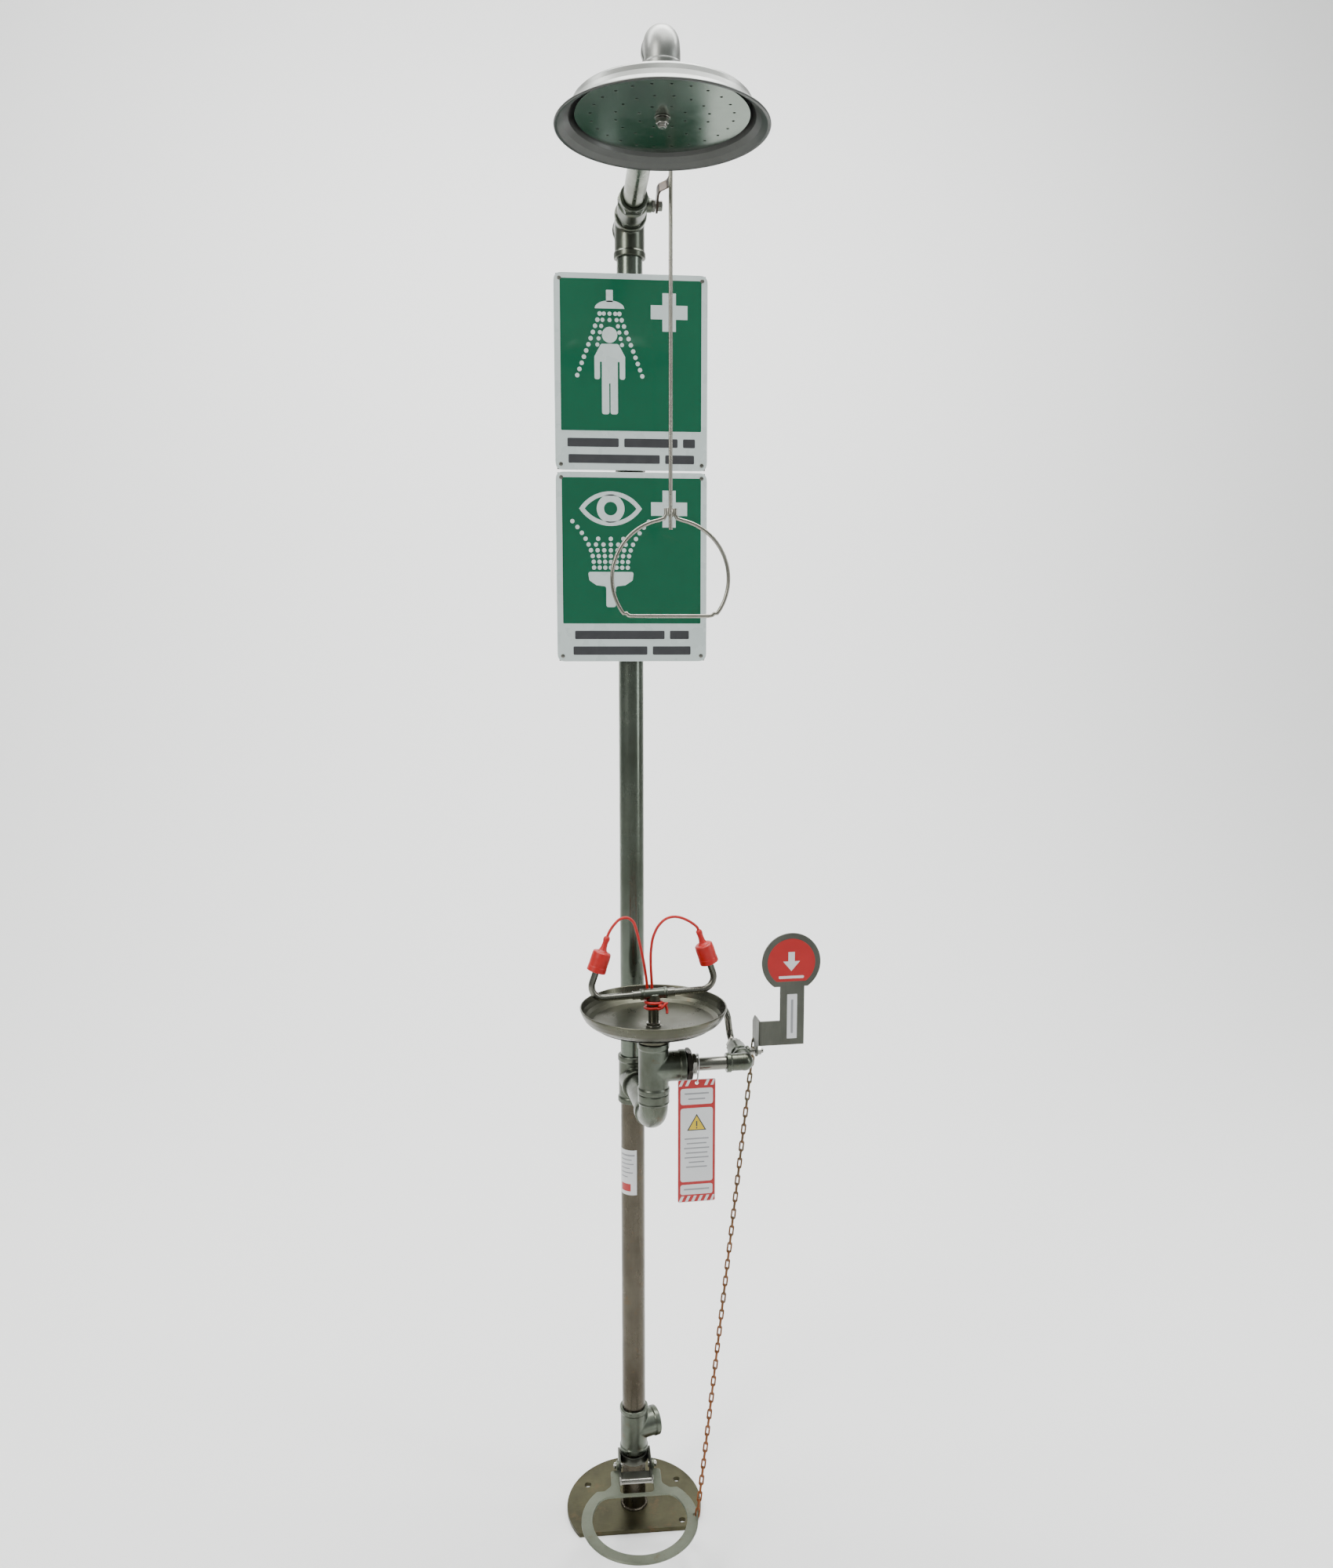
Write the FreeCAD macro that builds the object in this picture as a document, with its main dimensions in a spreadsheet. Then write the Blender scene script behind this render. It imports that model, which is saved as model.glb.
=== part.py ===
import FreeCAD, Part
import math
import os
import Sketcher

V = FreeCAD.Vector
Z_AXIS = V(0, 0, 1)

# Driving dimensions in millimetres and degrees. Heights are above the floor, and the
# pole's axis stands on the origin. The shower arm points along -Y.
DIMENSIONS = [
    ("plate_radius", 125.0), ("plate_thick", 8.0), ("plate_flat", 70.0), ("floor_hole_dia", 12.0),
    ("floor_hole_x", 85.0), ("floor_hole_y", 53.0),
    ("pole_od", 42.4), ("pole_id", 36.4), ("fitting_od", 49.0), ("collar_od", 52.0), ("collar_len", 10.0),
    ("socket_dia", 42.5), ("socket_deep", 15.0), ("fitting_half", 43.0), ("clearance", 0.05),
    ("outlet_z", 162.0), ("outlet_yaw", 20.0), ("waste_z", 838.0), ("waste_yaw", 7.0), ("bowl_reach", 186.0),
    ("arm_z", 2292.0), ("inlet_drop", 59.0), ("arm_od", 33.7), ("arm_id", 27.3), ("head_reach", 605.0),
    ("valve_y", 75.0), ("valve_front", 112.0), ("ball_dia", 34.0), ("ball_bore", 25.0),
    ("lever_reach", 150.0), ("lever_angle", 40.0), ("lever_thick", 3.0), ("lever_wide", 22.0), ("lever_offset", 54.5),
    ("rod_dia", 6.0), ("rod_x", 49.5), ("handle_radius", 90.0), ("handle_z", 1708.0), ("handle_chord", 57.0),
    ("head_radius", 123.4), ("rim_z", 2193.0), ("head_shell", 1.5), ("face_radius", 100.0), ("face_z", 2206.0),
    ("sign_wide", 250.0), ("sign_tall", 310.0), ("sign_thick", 2.0), ("sign_top", 2201.0), ("sign_gap", 3.0),
    ("sign_front", 34.0), ("rail_tall", 16.0), ("rail_thick", 3.0),
    ("bowl_radius", 119.0), ("bowl_z", 1027.0), ("bowl_shell", 1.5), ("feed_yaw", 4.0), ("feed_z", 925.0),
    ("pipe_od", 21.3), ("pipe_id", 15.8), ("elbow_u", 151.0), ("small_w", 46.0), ("small_ball", 20.0),
    ("small_bore", 12.0), ("paddle_thick", 3.0), ("paddle_u", 180.5), ("disc_u", 234.5), ("disc_z", 1083.0),
    ("disc_radius", 50.0), ("disc_flat_z", 1042.0), ("foot_low", 942.0), ("foot_high", 984.0),
    ("strip_left", 216.0), ("strip_right", 257.5), ("flange_back", 68.0), ("flange_front", 20.0),
    ("spray_yaw", 11.0), ("spray_z", 1048.0), ("spray_od", 10.8), ("spray_bend", 110.0), ("spray_lean", 19.0),
    ("riser_od", 17.0), ("riser_id", 12.0), ("cap_radius", 15.2), ("strap_dia", 4.6),
    ("feed_tube_od", 12.0), ("feed_tube_id", 9.0), ("boss_z", 990.0),
    ("hinge_y", 30.0), ("hinge_z", 107.0), ("pedal_z", 100.0), ("pedal_thick", 4.0), ("pedal_centre", 158.0),
    ("pedal_outer", 101.0), ("pedal_inner", 82.0), ("pedal_hole_x", 95.3), ("link_pitch", 15.0), ("link_wire", 2.4), ("link_wide", 8.6),
    ("tag_wide", 62.0), ("tag_tall", 208.0), ("tag_thick", 0.8),
]

doc = FreeCAD.newDocument("EyewashStation")
sheet = doc.addObject("Spreadsheet::Sheet", "Sheet")
for row, (alias, value) in enumerate(DIMENSIONS, start=1):
    sheet.set("A%d" % row, alias)
    sheet.set("B%d" % row, str(value))
    sheet.setAlias("B%d" % row, alias)
doc.recompute()


class Dim:
    """A number together with the spreadsheet expression that gives it."""

    def __init__(self, value, text=None):
        self.value = float(value)
        self.text = text if text is not None else repr(float(value))

    def _join(self, other, sign, value):
        return Dim(value, "(%s %s %s)" % (self.text, sign, dim(other).text))

    def __add__(self, other):
        return self._join(other, "+", self.value + dim(other).value)

    def __sub__(self, other):
        return self._join(other, "-", self.value - dim(other).value)

    def __mul__(self, other):
        return self._join(other, "*", self.value * dim(other).value)

    def __truediv__(self, other):
        return self._join(other, "/", self.value / dim(other).value)

    def __neg__(self):
        return Dim(0) - self

    def __radd__(self, other):
        return dim(other) + self

    def __rsub__(self, other):
        return dim(other) - self


def dim(thing):
    return thing if isinstance(thing, Dim) else Dim(thing)


D = {alias: Dim(sheet.get(alias), "Sheet." + alias) for alias, _ in DIMENSIONS}


def num(alias):
    return D[alias].value


PARTS = []
counter = [0]


def fresh(prefix):
    counter[0] += 1
    return "%s%03d" % (prefix, counter[0])


def bind(obj, prop, size):
    size = dim(size)
    obj.setExpression(prop, size.text)
    return obj


AXES = {
    "z": FreeCAD.Rotation(),
    "x": FreeCAD.Rotation(V(0, 1, 0), 90),
    "y": FreeCAD.Rotation(V(1, 0, 0), -90),
    "-z": FreeCAD.Rotation(V(1, 0, 0), 180),
    "-x": FreeCAD.Rotation(V(0, 1, 0), -90),
    "-y": FreeCAD.Rotation(V(1, 0, 0), 90),
}


def place(obj, at, axis="z"):
    at = [dim(c) for c in at]
    rotation = AXES[axis] if isinstance(axis, str) else axis
    obj.Placement = FreeCAD.Placement(V(*[c.value for c in at]), rotation)
    for letter, c in zip("xyz", at):
        if c.text.find("Sheet") >= 0:
            obj.setExpression("Placement.Base." + letter, c.text)
    return obj


def cyl(radius, height, at=(0, 0, 0), axis="z"):
    obj = doc.addObject("Part::Cylinder", fresh("Cylinder"))
    bind(obj, "Radius", radius)
    bind(obj, "Height", height)
    return place(obj, at, axis)


def cone(radius1, radius2, height, at=(0, 0, 0), axis="z"):
    obj = doc.addObject("Part::Cone", fresh("Cone"))
    bind(obj, "Radius1", radius1)
    bind(obj, "Radius2", radius2)
    bind(obj, "Height", height)
    return place(obj, at, axis)


def ball(radius, at=(0, 0, 0)):
    obj = doc.addObject("Part::Sphere", fresh("Sphere"))
    bind(obj, "Radius", radius)
    return place(obj, at)


def torus(radius1, radius2, at=(0, 0, 0), axis="z"):
    obj = doc.addObject("Part::Torus", fresh("Torus"))
    bind(obj, "Radius1", radius1)
    bind(obj, "Radius2", radius2)
    return place(obj, at, axis)


def box(length, width, height, at=(0, 0, 0), axis="z"):
    obj = doc.addObject("Part::Box", fresh("Box"))
    bind(obj, "Length", length)
    bind(obj, "Width", width)
    bind(obj, "Height", height)
    return place(obj, at, axis)


def hexagon(across_flats, height, at=(0, 0, 0), axis="z"):
    obj = doc.addObject("Part::Prism", fresh("Hexagon"))
    obj.Polygon = 6
    bind(obj, "Circumradius", dim(across_flats) / math.sqrt(3.0))
    bind(obj, "Height", height)
    return place(obj, at, axis)


def fuse(*shapes):
    obj = doc.addObject("Part::MultiFuse", fresh("Fusion"))
    obj.Shapes = list(shapes)
    return obj


def cut(base, *tools):
    obj = doc.addObject("Part::Cut", fresh("Cut"))
    obj.Base = base
    obj.Tool = tools[0] if len(tools) == 1 else fuse(*tools)
    return obj


def common(base, tool):
    obj = doc.addObject("Part::Common", fresh("Common"))
    obj.Base = base
    obj.Tool = tool
    return obj


def group(*shapes):
    """Several separate solids of one kind, kept apart."""
    obj = doc.addObject("Part::Compound", fresh("Group"))
    obj.Links = list(shapes)
    return obj


def moved(obj, at=(0, 0, 0), yaw=0.0):
    """Turns a finished piece about +Z and puts its own origin at the point."""
    obj.Placement = FreeCAD.Placement(V(*at), FreeCAD.Rotation(Z_AXIS, yaw))
    return obj


def part(label, obj):
    obj.Label = label
    PARTS.append(obj)
    return obj


def feature(label, shape, at=(0, 0, 0), yaw=0.0):
    obj = doc.addObject("Part::Feature", fresh("Feature"))
    obj.Shape = shape
    turned = FreeCAD.Placement(V(*at), FreeCAD.Rotation(Z_AXIS, yaw))
    obj.Placement = turned.multiply(shape.Placement)
    return part(label, obj)


def axis_plane(body, role):
    for candidate in body.Origin.OriginFeatures:
        if candidate.Role == role:
            return candidate


def outline(body, role, points):
    """A closed sketch whose corners are held at sheet-driven distances."""
    sketch = body.newObject("Sketcher::SketchObject", fresh("Sketch"))
    sketch.AttachmentSupport = [(axis_plane(body, role), "")]
    sketch.MapMode = "FlatFace"
    points = [(dim(x), dim(y)) for x, y in points]
    count = len(points)
    for i in range(count):
        a = points[i]
        b = points[(i + 1) % count]
        sketch.addGeometry(Part.LineSegment(V(a[0].value, a[1].value, 0), V(b[0].value, b[1].value, 0)))
    for i in range(count):
        sketch.addConstraint(Sketcher.Constraint("Coincident", i, 2, (i + 1) % count, 1))
    for i, (x, y) in enumerate(points):
        for kind, value in (("DistanceX", x), ("DistanceY", y)):
            if abs(value.value) < 1e-9:
                on_axis = -2 if kind == "DistanceX" else -1
                sketch.addConstraint(Sketcher.Constraint("PointOnObject", i, 1, on_axis))
                continue
            index = sketch.addConstraint(Sketcher.Constraint(kind, -1, 1, i, 1, value.value))
            if value.text.find("Sheet") >= 0:
                sketch.setExpression("Constraints[%d]" % index, value.text)
    return sketch


def revolved(points):
    """A body turned about +Z from (radius, height) corners."""
    body = doc.addObject("PartDesign::Body", fresh("Body"))
    sketch = outline(body, "XZ_Plane", points)
    turn = body.newObject("PartDesign::Revolution", fresh("Revolution"))
    turn.Profile = sketch
    turn.ReferenceAxis = (sketch, ["V_Axis"])
    turn.Angle = 360.0
    sketch.Visibility = False
    body.Tip = turn
    return body


def padded(points, thick, role="XY_Plane"):
    body = doc.addObject("PartDesign::Body", fresh("Body"))
    sketch = outline(body, role, points)
    pad = body.newObject("PartDesign::Pad", fresh("Pad"))
    pad.Profile = sketch
    bind(pad, "Length", thick)
    body.Tip = pad
    return body


def path_wire(points, radii):
    """Straight runs joined by tangent arcs of the given radii at the inner points."""
    points = [V(*p) for p in points]
    edges = []
    start = points[0]
    for i in range(1, len(points) - 1):
        into = (points[i] - points[i - 1]).normalize()
        out = (points[i + 1] - points[i]).normalize()
        half = into.getAngle(out) / 2.0
        reach = radii[i - 1] * math.tan(half)
        first = points[i] - into * reach
        last = points[i] + out * reach
        towards = (out - into).normalize()
        middle = points[i] + towards * (radii[i - 1] / math.cos(half) - radii[i - 1])
        edges.append(Part.LineSegment(start, first).toShape())
        edges.append(Part.Arc(first, middle, last).toShape())
        start = last
    edges.append(Part.LineSegment(start, points[-1]).toShape())
    return Part.Wire(edges)


def swept(points, radii, radius):
    wire = path_wire(points, radii)
    start = V(*points[0])
    direction = (V(*points[1]) - start).normalize()
    ring = Part.Wire([Part.Circle(start, direction, radius).toShape()])
    return wire.makePipeShell([ring], True, False)


def bent_tube(points, radii, outer, inner=0.0):
    solid = swept(points, radii, outer)
    if inner > 0:
        solid = solid.cut(swept(points, radii, inner))
    return solid


def cord_radii(points):
    """Arc radii of 0.45 of the shorter run over the tangent of half the turn."""
    points = [V(*p) for p in points]
    radii = []
    for i in range(1, len(points) - 1):
        into = points[i] - points[i - 1]
        out = points[i + 1] - points[i]
        half = into.getAngle(out) / 2.0
        radii.append(0.45 * min(into.Length, out.Length) / math.tan(half))
    return radii


# ---------------------------------------------------------------- frame of the branches
pole_r = D["pole_od"] / 2
bore_r = D["pole_id"] / 2
socket_r = D["socket_dia"] / 2
fit_r = D["fitting_od"] / 2
collar_r = D["collar_od"] / 2
half = D["fitting_half"]
deep = D["socket_deep"]
waste_yaw = num("waste_yaw")
reach = num("bowl_reach")
bowl_axis = (reach * math.sin(math.radians(waste_yaw)), -reach * math.cos(math.radians(waste_yaw)), 0)
feed_yaw = num("feed_yaw")
spray_yaw = num("spray_yaw")
feed_z = D["feed_z"]


def pipe_piece(low, high, outer=pole_r, inner=bore_r):
    return cut(cyl(outer, high - low, (0, 0, low)), cyl(inner, high - low + 2, (0, 0, low - 1)))


def tee_piece(centre, branch_axis, branch_reach, low_half, high_half):
    """A malleable tee with banded, socketed ends."""
    centre = dim(centre)
    low = centre - low_half
    tall = dim(low_half) + high_half
    outer = fuse(
        cyl(fit_r, tall, (0, 0, low)),
        cyl(collar_r, D["collar_len"], (0, 0, low)),
        cyl(collar_r, D["collar_len"], (0, 0, centre + high_half - D["collar_len"])),
        cyl(fit_r, branch_reach, (0, 0, centre), branch_axis),
        cyl(collar_r, D["collar_len"], banded(branch_axis, branch_reach, centre), branch_axis),
    )
    hollow = fuse(
        cyl(bore_r, tall + 2, (0, 0, low - 1)),
        cyl(socket_r, deep, (0, 0, low)),
        cyl(socket_r, deep, (0, 0, centre + high_half - deep)),
        cyl(bore_r, branch_reach, (0, 0, centre), branch_axis),
        cyl(socket_r, deep, socketed(branch_axis, branch_reach, centre), branch_axis),
    )
    return cut(outer, hollow)


def along(axis, distance, centre):
    distance = dim(distance)
    sign = -1 if axis.startswith("-") else 1
    if axis.endswith("x"):
        return (distance * sign, 0, centre)
    return (0, distance * sign, centre)


def banded(axis, branch_reach, centre):
    return along(axis, dim(branch_reach) - D["collar_len"], centre)


def socketed(axis, branch_reach, centre):
    return along(axis, dim(branch_reach) - deep, centre)


# ---------------------------------------------------------------- base and pole
def build_base():
    radius = D["plate_radius"]
    body = doc.addObject("PartDesign::Body", "BasePlateBody")
    sketch = body.newObject("Sketcher::SketchObject", "BasePlateSketch")
    sketch.AttachmentSupport = [(axis_plane(body, "XY_Plane"), "")]
    sketch.MapMode = "FlatFace"
    flat = num("plate_flat")
    start = -math.asin(flat / radius.value)
    end = math.pi - start
    corner = math.sqrt(radius.value ** 2 - flat ** 2)
    sketch.addGeometry(Part.ArcOfCircle(Part.Circle(V(0, 0, 0), Z_AXIS, radius.value), start, end))
    sketch.addGeometry(Part.LineSegment(V(-corner, -flat, 0), V(corner, -flat, 0)))
    sketch.addConstraint(Sketcher.Constraint("Coincident", 0, 3, -1, 1))
    sketch.addConstraint(Sketcher.Constraint("Coincident", 0, 2, 1, 1))
    sketch.addConstraint(Sketcher.Constraint("Coincident", 1, 2, 0, 1))
    sketch.addConstraint(Sketcher.Constraint("Horizontal", 1))
    index = sketch.addConstraint(Sketcher.Constraint("Radius", 0, radius.value))
    sketch.setExpression("Constraints[%d]" % index, radius.text)
    index = sketch.addConstraint(Sketcher.Constraint("DistanceY", 1, 1, -1, 1, flat))
    sketch.setExpression("Constraints[%d]" % index, "Sheet.plate_flat")
    pad = body.newObject("PartDesign::Pad", "BasePlatePad")
    pad.Profile = sketch
    bind(pad, "Length", D["plate_thick"])
    doc.recompute()
    holes = body.newObject("Sketcher::SketchObject", "FloorHoleSketch")
    holes.AttachmentSupport = [(axis_plane(body, "XY_Plane"), "")]
    holes.MapMode = "FlatFace"
    hole_x = D["floor_hole_x"]
    hole_y = D["floor_hole_y"]
    places = [(sx, sy) for sx in (-1, 1) for sy in (-1, 1)]
    for i, (sx, sy) in enumerate(places):
        centre = V(sx * hole_x.value, sy * hole_y.value, 0)
        holes.addGeometry(Part.Circle(centre, Z_AXIS, num("floor_hole_dia") / 2))
        for kind, value in (("DistanceX", hole_x * sx), ("DistanceY", hole_y * sy)):
            index = holes.addConstraint(Sketcher.Constraint(kind, -1, 1, i, 3, value.value))
            holes.setExpression("Constraints[%d]" % index, value.text)
        index = holes.addConstraint(Sketcher.Constraint("Diameter", i, num("floor_hole_dia")))
        holes.setExpression("Constraints[%d]" % index, "Sheet.floor_hole_dia")
    pocket = body.newObject("PartDesign::Pocket", "FloorHoles")
    pocket.Profile = holes
    pocket.Type = "ThroughAll"
    pocket.Reversed = True
    body.Tip = pocket
    part("base_plate", body)


def build_pole():
    outlet = D["outlet_z"]
    waste = D["waste_z"]
    inlet_low = D["arm_z"] - D["inlet_drop"]
    clear = D["clearance"]
    part("base_stub", pipe_piece(D["plate_thick"], outlet - half + deep - clear))
    part("waste_outlet_tee", moved(tee_piece(outlet, "x", 46, half, half), (0, 0, 0), num("outlet_yaw")))
    part("lower_waste_pipe", pipe_piece(outlet + half - deep + clear, waste - half + deep - clear))
    part("pole_tee", moved(tee_piece(waste, "x", 45, half, half), (0, 0, 0), waste_yaw - 90))
    plug_z = waste + half - deep + 4
    part("partition_plug", cyl(bore_r - clear, 10, (0, 0, plug_z)))
    low = waste + half - deep + clear
    high = inlet_low + deep - clear
    boss_z = D["boss_z"]
    supply = fuse(
        cyl(pole_r, high - low, (0, 0, low)),
        cyl(11, 34, (0, 0, boss_z), "x"),
    )
    part("supply_pipe", cut(
        supply,
        cyl(bore_r, high - low + 2, (0, 0, low - 1)),
        cyl(D["feed_tube_id"] / 2, 36, (0, 0, boss_z), "x"),
        cyl(D["feed_tube_od"] / 2 + clear, 6, (28.5, 0, boss_z), "x"),
    ))


# ---------------------------------------------------------------- waste branch under the bowl
def build_waste_branch():
    waste = D["waste_z"]
    clear = D["clearance"]
    nipple = cut(
        cyl(pole_r, D["bowl_reach"] - 31 - (dim(45) - deep) - clear * 2, (0, -(dim(45) - deep + clear), 0), "-y"),
        cyl(bore_r, 300, (0, -10, 0), "-y"),
    )
    moved(nipple, (0, 0, waste.value), waste_yaw)
    nipple.setExpression("Placement.Base.z", waste.text)
    part("waste_nipple", nipple)
    fit = num("fitting_od") / 2
    top = num("feed_z") - num("fitting_half")
    drop = top - waste.value
    points = [(0, 0, drop), (0, 0, 0), (0, 43, 0)]
    outer = swept(points, [26], fit - 0.8)
    for at, direction in ((V(0, 0, drop - 14), V(0, 0, 1)), (V(0, 29, 0), V(0, 1, 0))):
        outer = outer.fuse(Part.makeCylinder(num("collar_od") / 2, 14, at, direction))
    inner = swept([(0, 0, drop + 1), (0, 0, 0), (0, 44, 0)], [26], num("pole_id") / 2)
    inner = inner.fuse(Part.makeCylinder(num("socket_dia") / 2, 12, V(0, 31, 0), V(0, 1, 0)))
    elbow = outer.cut(inner)
    feature("waste_elbow", elbow.removeSplitter(), (bowl_axis[0], bowl_axis[1], waste.value), waste_yaw)
    part("bowl_tee", moved(tee_piece(feed_z, "x", 52, half, half), bowl_axis, feed_yaw))
    bushing = cut(
        fuse(
            cyl(socket_r - clear, 15, (37.5, 0, feed_z), "x"),
            hexagon(49, 9.5, (52.3, 0, feed_z), "x"),
        ),
        cyl(D["pipe_od"] / 2 + clear, 60, (20, 0, feed_z), "x"),
    )
    part("branch_bushing", moved(bushing, bowl_axis, feed_yaw))


# ---------------------------------------------------------------- feed line and its valve
def build_feed_line():
    clear = D["clearance"]
    pipe_r = D["pipe_od"] / 2
    elbow_u = D["elbow_u"]
    pipe = cut(
        cyl(pipe_r, elbow_u - 18 - 30, (30, 0, feed_z), "x"),
        cyl(D["pipe_id"] / 2, elbow_u, (20, 0, feed_z), "x"),
    )
    part("feed_pipe", moved(pipe, bowl_axis, feed_yaw))
    elbow = cut(
        fuse(
            cyl(14.2, 30, (elbow_u - 30, 0, feed_z), "x"),
            cyl(16.2, 8, (elbow_u - 31, 0, feed_z), "x"),
            ball(14.8, (elbow_u, 0, feed_z)),
            cyl(14.2, 22, (elbow_u, 0, feed_z), "y"),
            cyl(16.2, 6, (elbow_u, 16.5, feed_z), "y"),
        ),
        cyl(pipe_r + clear, 14, (elbow_u - 32, 0, feed_z), "x"),
        cyl(7.9, 39, (elbow_u - 32, 0, feed_z), "x"),
        cyl(7.8, 32, (elbow_u, -7, feed_z), "y"),
        cyl(9.55, 10, (elbow_u, 13, feed_z), "y"),
    )
    part("feed_elbow", moved(elbow, bowl_axis, feed_yaw))
    w = D["small_w"]
    body = cut(
        fuse(
            cyl(9.5, 9.4, (elbow_u, 13.5, feed_z), "y"),
            hexagon(27, 9, (elbow_u, 22.8, feed_z), "y"),
            cyl(16, 30, (elbow_u, w - 15, feed_z), "y"),
            hexagon(27, 10, (elbow_u, w + 14, feed_z), "y"),
            cyl(9.5, 8, (elbow_u, w + 22, feed_z), "y"),
            cyl(8, 19, (elbow_u, w, feed_z), "x"),
        ),
        cyl(6, 90, (elbow_u, 10, feed_z), "y"),
        cyl(12.2, 24, (elbow_u, w - 12, feed_z), "y"),
        cyl(4.0, 30, (elbow_u, w, feed_z), "x"),
        cyl(D["feed_tube_od"] / 2 + clear, 8, (elbow_u, w + 23, feed_z), "y"),
    )
    part("eyewash_valve_body", moved(body, bowl_axis, feed_yaw))
    stem_r = 3.95
    bore = small_bore_tool(elbow_u, w)
    part("eyewash_valve_ball", moved(cut(
        ball(D["small_ball"] / 2, (elbow_u, w, feed_z)),
        bore,
        cyl(stem_r, 6, (elbow_u + 7, w, feed_z), "x"),
    ), bowl_axis, feed_yaw))
    stem = cut(
        cyl(stem_r, 36, (elbow_u + 7, w, feed_z), "x"),
        small_bore_tool(elbow_u, w),
    )
    part("eyewash_valve_stem", moved(stem, bowl_axis, feed_yaw))
    build_paddle(elbow_u, w)
    nuts = group(
        cut(hexagon(32, 8, (62, 0, feed_z), "x"), cyl(pipe_r + clear, 20, (55, 0, feed_z), "x")),
        cut(hexagon(22, 9, (elbow_u, w + 30.2, feed_z), "y"),
            cyl(D["feed_tube_od"] / 2 + clear, 20, (elbow_u, w + 25, feed_z), "y")),
    )
    part("feed_line_nuts", moved(nuts, bowl_axis, feed_yaw))
    tube_nut = cut(
        hexagon(22, 9, (34.2, 0, D["boss_z"]), "x"),
        cyl(D["feed_tube_od"] / 2 + clear, 20, (30, 0, D["boss_z"]), "x"),
    )
    part("boss_nut", tube_nut)
    end = feed_point(elbow_u.value, w.value + 23.2, feed_z.value)
    back = feed_point(elbow_u.value, w.value + 62, feed_z.value)
    up = feed_point(elbow_u.value - 8, w.value + 56, 984)
    boss = num("boss_z")
    points = [(28.7, 0, boss), (112, 0, boss), tuple(up), tuple(back), tuple(end)]
    tube = bent_tube(points, [26, 22, 20], num("feed_tube_od") / 2, num("feed_tube_id") / 2)
    feature("feed_tube", tube)


def small_bore_tool(elbow_u, w):
    """The passage of the closed ball lies across the line of flow."""
    return cyl(D["small_bore"] / 2, 40, (elbow_u, w, feed_z - 20), "z")


def feed_point(u, w, z):
    yaw = math.radians(feed_yaw)
    return (
        bowl_axis[0] + u * math.cos(yaw) - w * math.sin(yaw),
        bowl_axis[1] + u * math.sin(yaw) + w * math.cos(yaw),
        z,
    )


def build_paddle(elbow_u, w):
    thick = D["paddle_thick"]
    left = D["paddle_u"]
    front = D["flange_front"]
    low = D["foot_low"]
    high = D["foot_high"]
    disc = common(
        cyl(D["disc_radius"], thick, (D["disc_u"], front, D["disc_z"]), "y"),
        box(300, 20, 200, (100, 10, D["disc_flat_z"])),
    )
    foot = box(D["strip_right"] - left, thick, high - low, (left, front, low))
    strip = box(D["strip_right"] - D["strip_left"], thick, D["disc_flat_z"] - low + 2, (D["strip_left"], front, low))
    back = D["flange_back"]
    eye_r = 9.5
    flange = place(padded([
        (front, high), (back - 12, high), (back, high - 12), (back, low - 4), (back - 3, low - 7),
        (w + 12, low - 7), (w + eye_r, low - 9), (w + eye_r, feed_z), (w - eye_r, feed_z), (w - eye_r, low - 6),
        (front, low),
    ], thick, "YZ_Plane"), (left, 0, 0))
    eye = cyl(eye_r, thick, (left, w, feed_z), "x")
    paddle = cut(
        fuse(disc, foot, strip, flange, eye),
        cyl(3.98, 20, (left - 6, w, feed_z), "x"),
        cyl(3.2, 20, (left - 6, w + 15.5, feed_z + 15.5), "x"),
    )
    part("push_paddle", moved(paddle, bowl_axis, feed_yaw))
    nut = cut(hexagon(13, 6.5, (left + thick + 0.1, w, feed_z), "x"), cyl(3.98, 20, (left, w, feed_z), "x"))
    part("paddle_nut", moved(nut, bowl_axis, feed_yaw))


# ---------------------------------------------------------------- bowl, riser and spray
def build_bowl():
    rim = D["bowl_radius"]
    z = D["bowl_z"]
    shell = D["bowl_shell"]
    profile = [
        (rim, z), (rim - 1, z - 3), (rim - 5, z - 12), (rim - 12, z - 21), (rim - 20, z - 25.5),
        (11, z - 34), (11, z - 34 + shell), (rim - 20, z - 25.5 + shell), (rim - 13.5, z - 20),
        (rim - 7, z - 11), (rim - 3.6, z - 3), (rim - 3, z - 0.5), (rim - 1.6, z + 1),
    ]
    part("eyewash_bowl", moved(revolved(profile), bowl_axis))
    top = z - 27.6
    low = feed_z + half + 0.1
    funnel = [
        (rim - 22, top), (26, low + 6), (26, low), (20, low), (20, low + 7), (rim - 26, top - 0.35),
    ]
    part("bowl_funnel", moved(revolved(funnel), bowl_axis))
    riser_r = D["riser_od"] / 2
    riser = cut(
        fuse(
            cyl(riser_r, D["spray_z"] - 10 - feed_z, (0, 0, feed_z)),
            ball(10.5, (0, 0, feed_z)),
            cyl(10.5, 29.8, (0, 0, feed_z), "x"),
        ),
        cyl(D["riser_id"] / 2, 200, (0, 0, feed_z)),
        cyl(D["riser_id"] / 2, 60, (0, 0, feed_z), "x"),
    )
    part("supply_riser", moved(riser, bowl_axis, feed_yaw))
    nut_z = z - 34 + shell + 0.3
    part("riser_nut", moved(cut(
        fuse(hexagon(22, 6.5, (0, 0, nut_z)), cyl(12.5, 1.6, (0, 0, nut_z))),
        cyl(riser_r + D["clearance"], 30, (0, 0, nut_z - 5)),
    ), bowl_axis, 20))


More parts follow.
